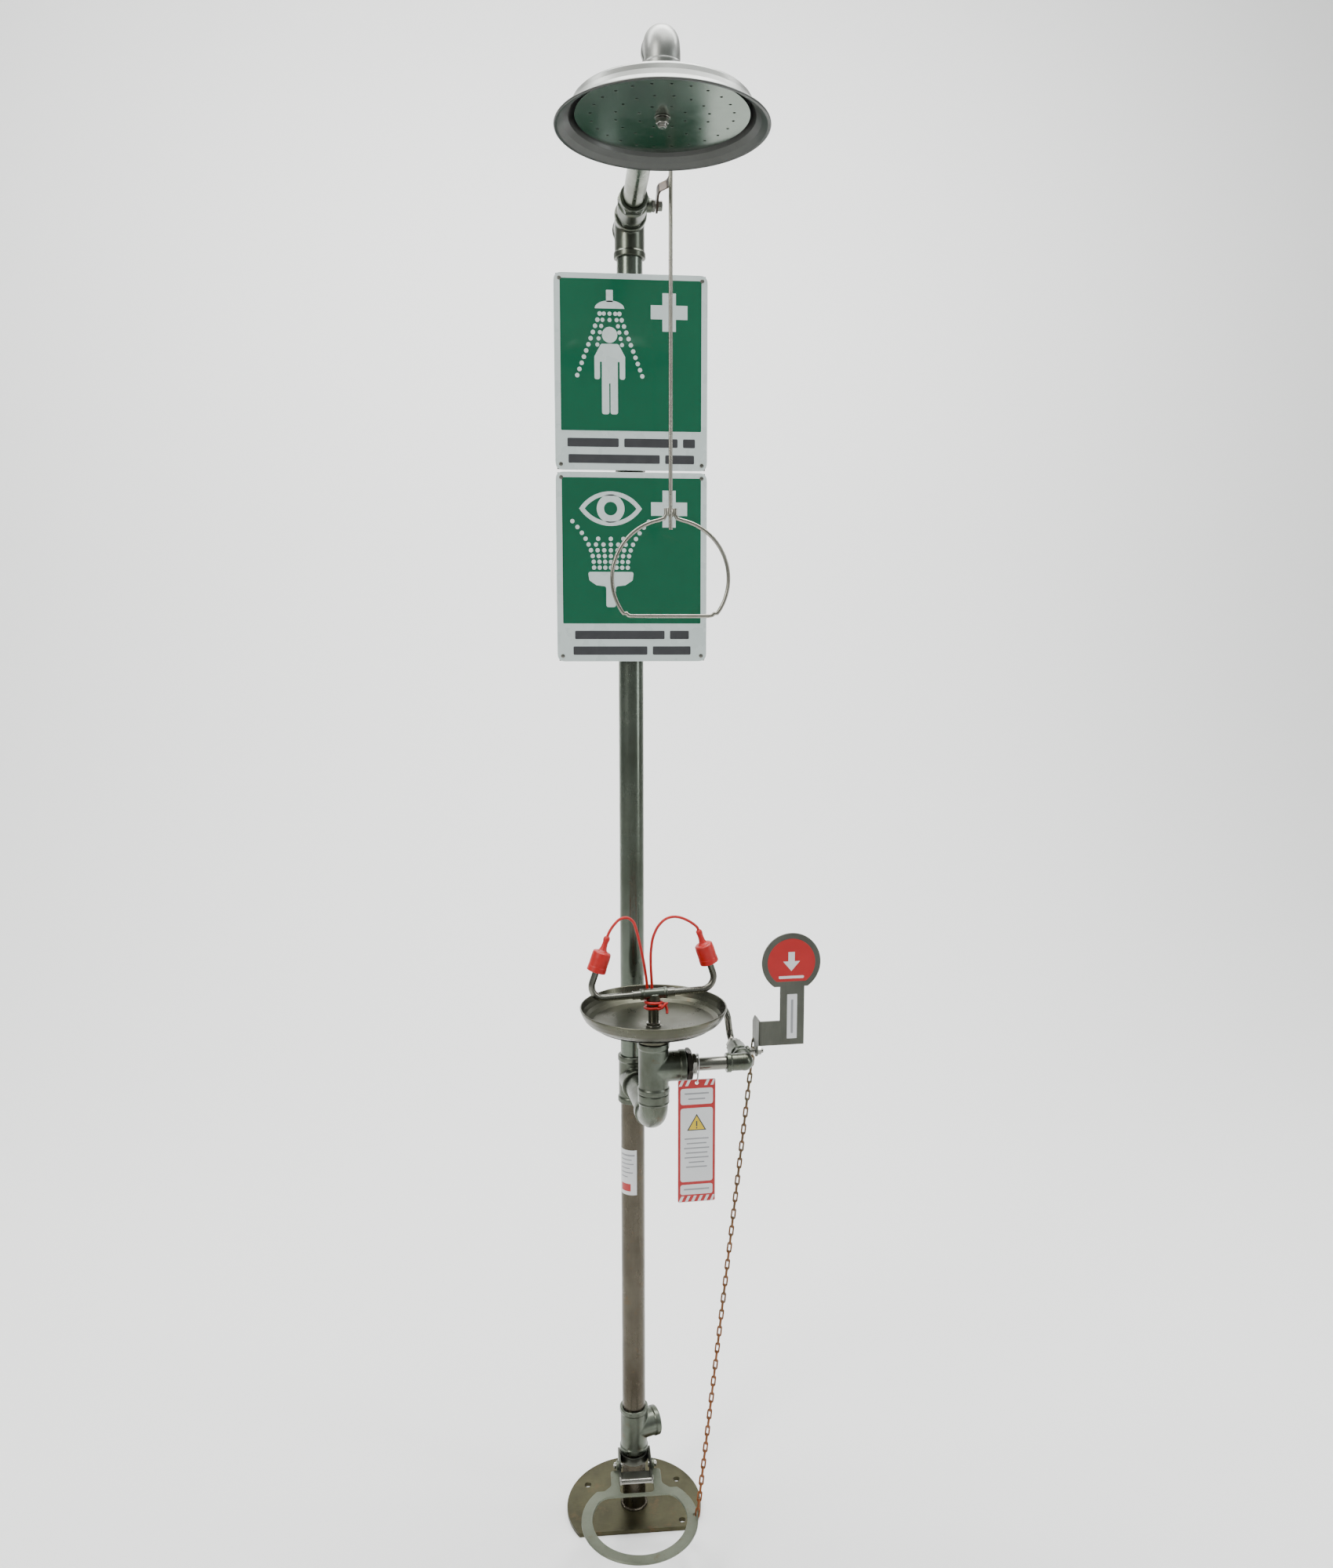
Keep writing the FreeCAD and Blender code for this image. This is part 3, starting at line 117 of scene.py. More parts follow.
def joined(*solids):
    out = Solid()
    for solid in solids:
        base = len(out.verts)
        out.verts += solid.verts
        out.faces += [tuple(i + base for i in face) for face in solid.faces]
        out.slots += solid.slots
    return out


def at(x, y, z, axis="z"):
    return Matrix.Translation((x, y, z)) @ AXES[axis]


def frontal(x, y, z, depth=-1):
    """An outline stood up to face front: its Y goes up, its thickness along Y."""
    return Matrix(((1, 0, 0, x), (0, 0, depth, y), (0, 1, 0, z), (0, 0, 0, 1)))


def sideways(x, y, z):
    """An outline stood up to face the side: its X goes along Y, its thickness along X."""
    return Matrix(((0, 0, 1, x), (1, 0, 0, y), (0, 1, 0, z), (0, 0, 0, 1)))


def linked(name, data):
    thing = bpy.data.objects.new(name, data)
    bpy.context.scene.collection.objects.link(thing)
    return thing


def soft(points, radius, steps=4, closed=True):
    """The same outline with its corners rounded."""
    points = [Vector((p[0], p[1])) for p in points]
    out = []
    count = len(points)
    for i, p in enumerate(points):
        if not closed and i in (0, count - 1):
            out.append(tuple(p))
            continue
        a = points[i - 1] - p
        b = points[(i + 1) % count] - p
        if a.length < 1e-6 or b.length < 1e-6:
            continue
        angle = a.angle(b)
        if angle > math.radians(176):
            out.append(tuple(p))
            continue
        reach = min(radius / math.tan(angle / 2), 0.45 * a.length, 0.45 * b.length)
        start = p + a.normalized() * reach
        end = p + b.normalized() * reach
        for k in range(steps + 1):
            t = k / steps
            q = start.lerp(p, t).lerp(p.lerp(end, t), t)
            out.append(tuple(q))
    return out


def lathe(profile, place=WORLD, steps=72, bevel=0.5, start=0.0, sweep=360.0):
    """A closed outline of (radius, height) turned about Z."""
    profile = soft(profile, bevel) if bevel else list(profile)
    whole = sweep >= 359.9
    rings = steps if whole else steps + 1
    verts = []
    faces = []
    count = len(profile)
    for i in range(rings):
        angle = math.radians(start + sweep * i / steps)
        for radius, height in profile:
            verts.append((max(radius, 0.0) * math.cos(angle), max(radius, 0.0) * math.sin(angle), height))
    for i in range(steps):
        a = i * count
        b = ((i + 1) % rings) * count
        for j in range(count):
            k = (j + 1) % count
            if profile[j][0] < 1e-6 and profile[k][0] < 1e-6:
                continue
            faces.append((a + j, b + j, b + k, a + k))
    if not whole:
        faces.append(tuple(range(count))[::-1])
        faces.append(tuple((rings - 1) * count + j for j in range(count)))
    return Solid(verts, faces).moved(place)


def pipe(outer, inner, length, place=WORLD, steps=72, bevel=0.5):
    if inner <= 0:
        return lathe([(0, 0), (outer, 0), (outer, length), (0, length)], place, steps, bevel)
    return lathe([(inner, 0), (outer, 0), (outer, length), (inner, length)], place, steps, bevel)


def bore(radius, length, place):
    return pipe(radius, 0, length, place, bevel=0)


def ferrule(place):
    return lathe([(6.1, 0), (9.4, 0), (7.4, 3.4), (6.1, 3.4)], place)


def ball(radius, place=WORLD, steps=48):
    half = steps // 2
    profile = [(radius * math.sin(math.pi * i / half),
                -radius * math.cos(math.pi * i / half)) for i in range(half + 1)]
    return lathe(profile, place, steps, 0)


def ring(radius, wire, place=WORLD, steps=96):
    profile = [
        (radius + wire * math.cos(math.tau * i / 16), wire * math.sin(math.tau * i / 16)) for i in range(16)
    ]
    return lathe(profile, place, steps, 0)


def hexagon(flats, height, bore=0.0, place=WORLD):
    """A hexagon nut with turned-down corners."""
    steps = 60
    half = flats / 2
    corner = [half / math.cos(((math.tau * i / steps) % (math.pi / 3)) - math.pi / 6) for i in range(steps)]
    levels = []
    if bore:
        levels.append([(bore, 0.0)] * steps)
    drop = [min((c - half) * 0.62, height * 0.3) for c in corner]
    levels.append([(half * 0.96, 0.0)] * steps)
    levels.append([(c, 0.25 + d) for c, d in zip(corner, drop)])
    levels.append([(c, height - 0.25 - d) for c, d in zip(corner, drop)])
    levels.append([(half * 0.96, height)] * steps)
    if bore:
        levels.append([(bore, height)] * steps)
    verts = []
    for level in levels:
        for i, (radius, z) in enumerate(level):
            angle = math.tau * i / steps
            verts.append((radius * math.cos(angle), radius * math.sin(angle), z))
    faces = []
    rows = len(levels)
    for j in range(rows if bore else rows - 1):
        k = (j + 1) % rows
        for i in range(steps):
            n = (i + 1) % steps
            faces.append((j * steps + i, j * steps + n, k * steps + n, k * steps + i))
    if not bore:
        faces.append(tuple(range(steps))[::-1])
        faces.append(tuple((rows - 1) * steps + i for i in range(steps)))
    return Solid(verts, faces).moved(place)


def route(points, radii, fine=5.0):
    """Straight runs with tangent arcs, as close points."""
    points = [Vector(p) for p in points]
    out = [points[0]]
    for i in range(1, len(points) - 1):
        into = (points[i] - points[i - 1]).normalized()
        leave = (points[i + 1] - points[i]).normalized()
        half = into.angle(leave) / 2
        reach = radii[i - 1] * math.tan(half)
        centre = points[i] + (leave - into).normalized() * radii[i - 1] / math.cos(half)
        first = points[i] - into * reach - centre
        last = points[i] + leave * reach - centre
        steps = max(4, int(math.degrees(2 * half) / fine))
        axis = first.cross(last).normalized()
        for k in range(steps + 1):
            out.append(centre + Matrix.Rotation(2 * half * k / steps, 3, axis) @ first)
    out.append(points[-1])
    return out


def cord_radii(points):
    points = [Vector(p) for p in points]
    radii = []
    for i in range(1, len(points) - 1):
        into = points[i] - points[i - 1]
        leave = points[i + 1] - points[i]
        radii.append(0.45 * min(into.length, leave.length) / math.tan(into.angle(leave) / 2))
    return radii


def tube(line, radius, inner=0.0, steps=24, closed=False):
    """A round tube along close points, carried without twist."""
    line = [Vector(p) for p in line]
    count = len(line)
    tangents = []
    for i in range(count):
        if closed:
            d = line[(i + 1) % count] - line[i - 1]
        else:
            d = line[min(i + 1, count - 1)] - line[max(i - 1, 0)]
        tangents.append(d.normalized())
    side = tangents[0].orthogonal().normalized()
    verts = []
    frames = []
    for i, t in enumerate(tangents):
        side = (side - t * side.dot(t)).normalized()
        frames.append((side.copy(), t.cross(side)))
    for size in ([radius] if not inner else [radius, inner]):
        for i, (a, b) in enumerate(frames):
            for k in range(steps):
                angle = math.tau * k / steps
                verts.append(line[i] + (a * math.cos(angle) + b * math.sin(angle)) * size)
    faces = []
    rows = count if closed else count - 1
    for i in range(rows):
        a = i * steps
        b = ((i + 1) % count) * steps
        for k in range(steps):
            n = (k + 1) % steps
            faces.append((a + k, a + n, b + n, b + k))
            if inner:
                c = count * steps
                faces.append((c + a + n, c + a + k, c + b + k, c + b + n))
    if not closed:
        last = (count - 1) * steps
        if inner:
            c = count * steps
            for k in range(steps):
                n = (k + 1) % steps
                faces.append((k, c + k, c + n, n))
                faces.append((last + n, c + last + n, c + last + k, last + k))
        else:
            faces.append(tuple(range(steps))[::-1])
            faces.append(tuple(last + k for k in range(steps)))
    return Solid(verts, faces)


def plate(outlines, thick, place=WORLD, bevel=0.35, corner=0.0):
    """Outlines in the XY plane, the first round the rest, made into a sheet from z=0 up to its thickness."""
    curve = bpy.data.curves.new("outline", "CURVE")
    curve.dimensions = "2D"
    curve.fill_mode = "BOTH"
    bevel = min(bevel, thick * 0.45)
    curve.extrude = thick / 2 - bevel
    curve.bevel_depth = bevel
    curve.bevel_resolution = 0
    curve.offset = -bevel
    for points in outlines:
        if corner:
            points = soft(points, corner, 6)
        spline = curve.splines.new("POLY")
        spline.points.add(len(points) - 1)
        spline.use_cyclic_u = True
        for item, p in zip(spline.points, points):
            item.co = (p[0], p[1], 0, 1)
    holder = linked("outline", curve)
    depsgraph = bpy.context.evaluated_depsgraph_get()
    mesh = bpy.data.meshes.new_from_object(holder.evaluated_get(depsgraph))
    edit = bmesh.new()
    edit.from_mesh(mesh)
    bmesh.ops.remove_doubles(edit, verts=edit.verts, dist=0.001)
    solid = Solid([v.co for v in edit.verts], [[v.index for v in f.verts] for f in edit.faces])
    edit.free()
    bpy.data.objects.remove(holder)
    bpy.data.curves.remove(curve)
    bpy.data.meshes.remove(mesh)
    return solid.moved(place @ Matrix.Translation((0, 0, thick / 2)))


def circle(x, y, radius, steps=40, start=0.0, end=360.0):
    whole = abs(end - start) > 359.9
    count = steps if whole else steps + 1
    out = []
    for i in range(count):
        angle = math.radians(start + (end - start) * i / steps)
        out.append((x + radius * math.cos(angle), y + radius * math.sin(angle)))
    return out


def block(x, y, width, height, corner=0.0):
    points = [(x, y), (x + width, y), (x + width, y + height), (x, y + height)]
    return soft(points, corner, 6) if corner else points


def brick(size, place=WORLD, bevel=0.4):
    return plate([block(0, 0, size[0], size[1])], size[2], place, bevel)


def to_mesh(name, solid, scale=1.0):
    mesh = bpy.data.meshes.new(name)
    mesh.from_pydata([v * scale for v in solid.verts], [], solid.faces)
    edit = bmesh.new()
    edit.from_mesh(mesh)
    for face, number in zip(edit.faces, solid.slots):
        face.material_index = number
    bmesh.ops.remove_doubles(edit, verts=edit.verts, dist=1e-3 * scale)
    bmesh.ops.recalc_face_normals(edit, faces=edit.faces)
    edit.to_mesh(mesh)
    edit.free()
    return mesh


def cast(adds, cuts=(), voxel=0.9, smooth=5):
    """Several shapes grown into one with soft inside corners, then bored out cleanly."""
    holder = linked("cast", to_mesh("cast", joined(*adds)))
    remesh = holder.modifiers.new("grow", "REMESH")
    remesh.mode = "VOXEL"
    remesh.voxel_size = voxel
    relax = holder.modifiers.new("relax", "SMOOTH")
    relax.factor = 0.5
    relax.iterations = smooth
    tools = []
    for solid in cuts:
        tool = linked("tool", to_mesh("tool", solid))
        carve = holder.modifiers.new("carve", "BOOLEAN")
        carve.operation = "DIFFERENCE"
        carve.object = tool
        carve.solver = "EXACT"
        tools.append(tool)
    depsgraph = bpy.context.evaluated_depsgraph_get()
    mesh = bpy.data.meshes.new_from_object(holder.evaluated_get(depsgraph))
    solid = Solid([v.co for v in mesh.vertices], [tuple(p.vertices) for p in mesh.polygons])
    for thing in [holder] + tools:
        data = thing.data
        bpy.data.objects.remove(thing)
        bpy.data.meshes.remove(data)
    bpy.data.meshes.remove(mesh)
    return solid


def flatten(thing):
    """Shades by face area, so that small rounded edges don't bend the light on large faces."""
    weigh = thing.modifiers.new("normals", "WEIGHTED_NORMAL")
    weigh.keep_sharp = True
    weigh.weight = 100
    depsgraph = bpy.context.evaluated_depsgraph_get()
    rough = thing.data
    final = bpy.data.meshes.new_from_object(
        thing.evaluated_get(depsgraph), preserve_all_data_layers=True, depsgraph=depsgraph
    )
    thing.modifiers.clear()
    name = rough.name
    thing.data = final
    bpy.data.meshes.remove(rough)
    final.name = name


def piece(name, solid, finishes, body="stand", stands_for=(), place=WORLD, sharp=25):
    """A finished piece: it rides on its body and takes the place of its CAD nodes."""
    mesh = to_mesh(name, solid.moved(place), MM)
    for polygon in mesh.polygons:
        polygon.use_smooth = True
    mesh.set_sharp_from_angle(angle=math.radians(sharp))
    for finish in finishes if isinstance(finishes, (list, tuple)) else [finishes]:
        mesh.materials.append(finish)
    thing = linked(name, mesh)
    flatten(thing)
    if body:
        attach(thing, body)
    if stands_for:
        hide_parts(*stands_for)
    return thing


def fixed(name, solid, finish, place=WORLD):
    """A piece on the stand that takes the place of the CAD node with its name."""
    return piece(name, solid, finish, "stand", [name], place)


# ------------------------------------------------------------------ materials
def new_material(name):
    material = bpy.data.materials.new(name)
    material.use_nodes = True
    return material, material.node_tree.nodes, material.node_tree.links


def ramp(nodes, stops):
    node = nodes.new("ShaderNodeValToRGB")
    elements = node.color_ramp.elements
    while len(elements) < len(stops):
        elements.new(0.5)
    for element, (where, colour) in zip(elements, stops):
        element.position = where
        element.color = (*colour, 1.0) if len(colour) == 3 else colour
    return node


def graded(nodes, links, value, stops):
    """A ramp fed by a value."""
    node = ramp(nodes, stops)
    links.new(value, node.inputs["Fac"])
    return node.outputs["Color"]


def mixed(nodes, links, factor, first, second, mode="MIX"):
    """Two colours mixed; each input is a socket or a fixed value."""
    node = nodes.new("ShaderNodeMix")
    node.data_type = "RGBA"
    node.blend_type = mode
    for socket, value in (("Factor", factor), ("A", first), ("B", second)):
        if isinstance(value, bpy.types.NodeSocket):
            links.new(value, node.inputs[socket])
        else:
            node.inputs[socket].default_value = value
    return node.outputs["Result"]


def bumped(nodes, links, shader, height, strength, distance):
    bump = nodes.new("ShaderNodeBump")
    bump.inputs["Strength"].default_value = strength
    bump.inputs["Distance"].default_value = distance
    links.new(height, bump.inputs["Height"])
    links.new(bump.outputs["Normal"], shader.inputs["Normal"])


def noise(nodes, links, coordinates, scale, detail=4.0, stretch=(1, 1, 1), rough=0.55):
    mapping = nodes.new("ShaderNodeMapping")
    mapping.inputs["Scale"].default_value = stretch
    links.new(coordinates, mapping.inputs["Vector"])
    node = nodes.new("ShaderNodeTexNoise")
    node.inputs["Scale"].default_value = scale
    node.inputs["Detail"].default_value = detail
    node.inputs["Roughness"].default_value = rough
    links.new(mapping.outputs["Vector"], node.inputs["Vector"])
    return node.outputs["Fac"]


def grey(value):
    return (value, value, value)


def steel(name, bright, dull, rough=(0.22, 0.45), grain=(1, 1, 0.02), blotch=9.0, scratch=0.12, rust=0.0,
          underside_shade=1.0):
    """Brushed, handled stainless steel: grain along one way, dull blotches and water marks, and painted shade
    that darkens the faces pointing down.
    """
    material, nodes, links = new_material(name)
    shader = nodes["Principled BSDF"]
    where = nodes.new("ShaderNodeTexCoord").outputs["Object"]
    large = noise(nodes, links, where, blotch, 6.0, (1, 1, 0.6), 0.6)
    tone = graded(nodes, links, large, [(0.3, dull), (0.68, bright)])
    brushed = noise(nodes, links, where, 900.0, 3.0, grain, 0.6)
    streak = graded(nodes, links, brushed, [(0.3, grey(0.86)), (0.7, grey(1.0))])
    colour = mixed(nodes, links, 0.6, tone, streak, "MULTIPLY")
    if rust:
        spots = noise(nodes, links, where, 38.0, 8.0, (1, 1, 1), 0.7)
        stops = [(0.60 - 0.12 * rust, grey(0.0)), (0.80 - 0.1 * rust, grey(1.0))]
        colour = mixed(nodes, links, graded(nodes, links, spots, stops), colour, (0.105, 0.07, 0.038, 1))
    # Painted shade: the colour is darkened on faces that point down, standing in for shadow on undersides.
    if underside_shade < 1.0:
        facing = nodes.new("ShaderNodeSeparateXYZ")
        links.new(nodes.new("ShaderNodeTexCoord").outputs["Normal"], facing.inputs["Vector"])
        level = nodes.new("ShaderNodeMapRange")
        level.inputs["From Min"].default_value = -1.0
        links.new(facing.outputs["Z"], level.inputs["Value"])
        shade = graded(nodes, links, level.outputs["Result"], [(0.25, grey(underside_shade)), (0.6, grey(1.0))])
        colour = mixed(nodes, links, 1.0, colour, shade, "MULTIPLY")
    links.new(colour, shader.inputs["Base Color"])
    shader.inputs["Metallic"].default_value = 1.0
    marks = noise(nodes, links, where, 24.0, 5.0, (1, 1, 0.5), 0.65)
    polish = graded(nodes, links, marks, [(0.32, grey(rough[0])), (0.72, grey(rough[1]))])
    links.new(polish, shader.inputs["Roughness"])
    bumped(nodes, links, shader, brushed, scratch, 0.0004)
    return material


def plain(name, colour, rough=0.45, tint=0.12, scale=60.0, bump_size=0.0002, coat=0.0, under=0.0):
    """Plastic, print or paint with a little unevenness."""
    material, nodes, links = new_material(name)
    shader = nodes["Principled BSDF"]
    where = nodes.new("ShaderNodeTexCoord").outputs["Object"]
    cloud = noise(nodes, links, where, scale, 5.0)
    darker = tuple(c * (1 - tint) for c in colour)
    tone = graded(nodes, links, cloud, [(0.35, darker), (0.65, colour)])
    links.new(tone, shader.inputs["Base Color"])
    stops = [(0.3, grey(rough * 0.85)), (0.7, grey(min(1.0, rough * 1.2)))]
    links.new(graded(nodes, links, cloud, stops), shader.inputs["Roughness"])
    bumped(nodes, links, shader, noise(nodes, links, where, scale * 12, 3.0), 0.15, bump_size)
    shader.inputs["Coat Weight"].default_value = coat
    shader.inputs["Subsurface Weight"].default_value = under
    return material


POLE = steel("pole steel", (0.16, 0.185, 0.155), (0.085, 0.095, 0.072), (0.18, 0.34), (1, 1, 0.015))
POLE_OLD = steel("lower pole steel", (0.10, 0.09, 0.07), (0.05, 0.042, 0.03), (0.2, 0.38), (1, 1, 0.015),
                 rust=0.2)
CAST = steel("cast fittings", (0.125, 0.14, 0.115), (0.075, 0.08, 0.062), (0.24, 0.42), (1, 1, 1), 26.0, 0.15,
             0.1)
PIPE_X = steel("feed pipe steel", (0.20, 0.20, 0.175), (0.12, 0.115, 0.095), (0.2, 0.34), (0.02, 1, 1), 9.0,
               0.06)
PIPE_Y = steel("arm steel", (0.19, 0.21, 0.165), (0.12, 0.13, 0.09), (0.2, 0.34), (1, 1, 1), 9.0, 0.04)
# Painted shade: the head's downward faces are darkened to about a quarter, as if in shadow.
HEAD = steel("shower head steel", (0.30, 0.31, 0.295), (0.23, 0.235, 0.22), (0.32, 0.44), (1, 1, 1), 7.0,
             0.03,
             underside_shade=0.26)
ELBOW = steel("elbow steel", (0.34, 0.345, 0.33), (0.24, 0.245, 0.23), (0.34, 0.46), (1, 1, 1), 18.0, 0.04)
FACE = steel("face plate steel", (0.165, 0.20, 0.165), (0.115, 0.145, 0.115), (0.14, 0.22), (1, 1, 1), 12.0,
             0.0)
# Painted shade: the bowl's downward faces are darkened a little, as if in shadow.
BOWL_STEEL = steel("bowl steel", (0.105, 0.105, 0.08), (0.075, 0.075, 0.054), (0.24, 0.38), (1, 1, 1), 14.0,
                   0.03, 0.08,
                   underside_shade=0.8)
SHEET = steel("paddle sheet steel", (0.135, 0.14, 0.12), (0.095, 0.097, 0.082), (0.34, 0.5), (1, 1, 0.04),
              12.0, 0.08)
PEDAL = steel("pedal sheet steel", (0.155, 0.17, 0.13), (0.115, 0.125, 0.095), (0.42, 0.58), (1, 1, 1), 16.0,
              0.08, 0.1)
BASE = steel("base plate steel", (0.085, 0.08, 0.045), (0.042, 0.04, 0.024), (0.36, 0.56), (0.08, 1, 1), 13.0,
             0.12, 0.3)
BRIGHT = steel("bright fasteners", (0.34, 0.335, 0.31), (0.22, 0.215, 0.19), (0.18, 0.3), (1, 1, 1), 30.0,
               0.06)
WIRE = steel("pull rod steel", (0.31, 0.30, 0.26), (0.23, 0.22, 0.185), (0.22, 0.34), (1, 1, 1), 18.0, 0.0)
DARK = steel("dark lever steel", (0.045, 0.035, 0.028), (0.02, 0.016, 0.012), (0.3, 0.5), (1, 1, 1), 30.0,
             0.12, 0.1)
BUSH = steel("dark bushing", (0.05, 0.045, 0.038), (0.02, 0.018, 0.014), (0.3, 0.5), (1, 1, 1), 35.0, 0.15)
# Painted shade: a near-black steel standing for the darkness inside the pipes; only the partition plug wears
# it.
BORE = steel("painted shade inside the pipes", (0.05, 0.05, 0.045), (0.02, 0.02, 0.018), (0.4, 0.7), (1, 1, 1), 30.0,
             0.1)


def chain_finish():
    """Bronze at the top of the chain, orange rust towards the floor."""
    material, nodes, links = new_material("tarnished chain")
    shader = nodes["Principled BSDF"]
    where = nodes.new("ShaderNodeTexCoord").outputs["Object"]
    height = nodes.new("ShaderNodeSeparateXYZ")
    links.new(where, height.inputs["Vector"])
    spots = noise(nodes, links, where, 70.0, 5.0)
    level = nodes.new("ShaderNodeMath")
    level.operation = "ADD"
    links.new(height.outputs["Z"], level.inputs[0])
    links.new(spots, level.inputs[1])
    tone = ramp(nodes,
                [(0.45, (0.19, 0.062, 0.018)), (0.85, (0.13, 0.075, 0.035)), (1.0, (0.17, 0.145, 0.095))])
    reach = nodes.new("ShaderNodeMapRange")
    reach.inputs["From Max"].default_value = 1.5
    links.new(level.outputs["Value"], reach.inputs["Value"])
    links.new(reach.outputs["Result"], tone.inputs["Fac"])
    links.new(tone.outputs["Color"], shader.inputs["Base Color"])
    polish = ramp(nodes, [(0.3, grey(0.35)), (0.7, grey(0.7))])
    links.new(spots, polish.inputs["Fac"])
    links.new(polish.outputs["Color"], shader.inputs["Roughness"])
    shader.inputs["Metallic"].default_value = 0.65
    return material


CHAIN = chain_finish()
RED = plain("red soft plastic", (0.44, 0.003, 0.001), 0.42, 0.2, 90.0, 0.0002, 0.0, 0.05)
WHITE = plain("white enamel", (0.50, 0.57, 0.56), 0.28, 0.05, 25.0, 0.0001, 0.35)
GREEN = plain("green enamel", (0.0, 0.085, 0.04), 0.2, 0.08, 9.0, 0.0001, 0.4)
INK = plain("dark print", (0.035, 0.036, 0.04), 0.4, 0.1)
RED_PRINT = plain("red print", (0.38, 0.0, 0.001), 0.34, 0.1, 40.0, 0.0001, 0.2)
YELLOW = plain("yellow print", (0.60, 0.42, 0.0), 0.34, 0.08, 40.0, 0.0001, 0.2)
CARD = plain("white tag plastic", (0.60, 0.61, 0.62), 0.34, 0.05, 25.0, 0.0001, 0.2)
PALE = plain("pale grey print", (0.26, 0.265, 0.28), 0.5, 0.05)
CLEAR = plain("clear cable tie", (0.62, 0.62, 0.60), 0.3, 0.05, 60.0, 0.0001, 0.2)
SEAT = plain("valve seat plastic", (0.82, 0.82, 0.80), 0.4, 0.05)


# ------------------------------------------------------------------ base and pole
def feed_at(u, w, axis="z"):
    """A place at the height of the feed line."""
    return at(u, w, FEED_Z, axis)


def fitting(z, axis, reach, low, high, port):
    """A banded tee: run along Z, one branch, with bored sockets at the ends."""
    run = high + low
    band = 10
    length = reach - band
    adds = [
        pipe(CAST_R, 0, run, at(0, 0, z - low), bevel=1.5),
        pipe(BAND_R, 0, band, at(0, 0, z - low), bevel=1.6),
        pipe(BAND_R, 0, band, at(0, 0, z + high - band), bevel=1.6),
        pipe(CAST_R, 0, reach, at(0, 0, z, axis), bevel=1.5),
        pipe(BAND_R, 0, band, at(0, 0, z, axis) @ Matrix.Translation((0, 0, length)), bevel=1.6),
    ]
    cuts = [
        bore(BORE_R, run + 4, at(0, 0, z - low - 2)),
        bore(SOCKET_R, 17, at(0, 0, z - low - 2)),
        bore(SOCKET_R, 17, at(0, 0, z + high - 15)),
        bore(BORE_R, reach + 2, at(0, 0, z, axis)),
        bore(SOCKET_R if port else TIGHT_SOCKET_R, 17,
             at(0, 0, z, axis) @ Matrix.Translation((0, 0, reach - 15))),
    ]
    return cast(adds, cuts)


def weld(radius, z, place=WORLD, size=2.6, seed=3):
    """A hand-laid bead round a pipe."""
    chance = random.Random(seed)
    line = []
    steps = 150
    for i in range(steps):
        angle = math.tau * i / steps
        r = radius + 0.5 * math.sin(angle * 46) + chance.uniform(-0.2, 0.2)
        line.append((r * math.cos(angle), r * math.sin(angle), z + chance.uniform(-0.15, 0.15)))
    return tube(line, size, steps=12, closed=True).moved(place)


def build_base():
    flat = math.degrees(math.asin(70 / 125))
    outer = circle(0, 0, 125, 140, -flat, 180 + flat)
    holes = [circle(x, y, 6, 32) for x in (-85, 85) for y in (-53, 53)]
    fixed("base_plate", plate([outer] + holes, 8, bevel=0.5), BASE)
    stub = joined(pipe(POLE_R, BORE_R, 125.8, at(0, 0, 8)), weld(POLE_R + 0.8, 9.0))
    fixed("base_stub", stub, POLE_OLD)


def label(low, high, start, sweep, radius):
    return lathe([(radius, low), (radius + 0.14, low), (radius + 0.14, high), (radius, high)], WORLD, 40, 0,
                 start,
                 sweep)


def build_pole():
    fixed("waste_outlet_tee", fitting(162, "x", 46, 43, 43, True), CAST, OUTLET)
    fixed("lower_waste_pipe", pipe(POLE_R, BORE_R, 619.9, at(0, 0, 190.05)), POLE_OLD)
    fixed("pole_tee", fitting(WASTE_Z, "-y", 45, 43, 43, False), CAST, WASTE)
    boss = joined(
        pipe(POLE_R, BORE_R, 1381.9, at(0, 0, 866.05)),
        pipe(11, 6.05, 15, at(19, 0, BOSS_Z, "x")),
        tube([(POLE_R * math.cos(math.asin(12 * math.sin(a) / POLE_R)), 12 * math.sin(a),
               BOSS_Z + 12 * math.cos(a))
              for a in [math.tau * i / 48 for i in range(48)]], 1.5, steps=10, closed=True),
    )
    fixed("supply_pipe", boss, POLE)
    lines = [(698, 701, 75), (690, 692, 60), (682, 684, 70), (674, 676, 50), (666, 668, 66), (658, 660, 40)]
    sticker = [label(625, 709, 190, 95, POLE_R + 0.02)]
    sticker += [label(low, high, 200, sweep, POLE_R + 0.17).painted(1) for low, high, sweep in lines]
    sticker.append(label(632, 646, 200, 55, POLE_R + 0.17).painted(2))
    piece("pole_label", joined(*sticker), [CARD, PALE, RED_PRINT], "stand")


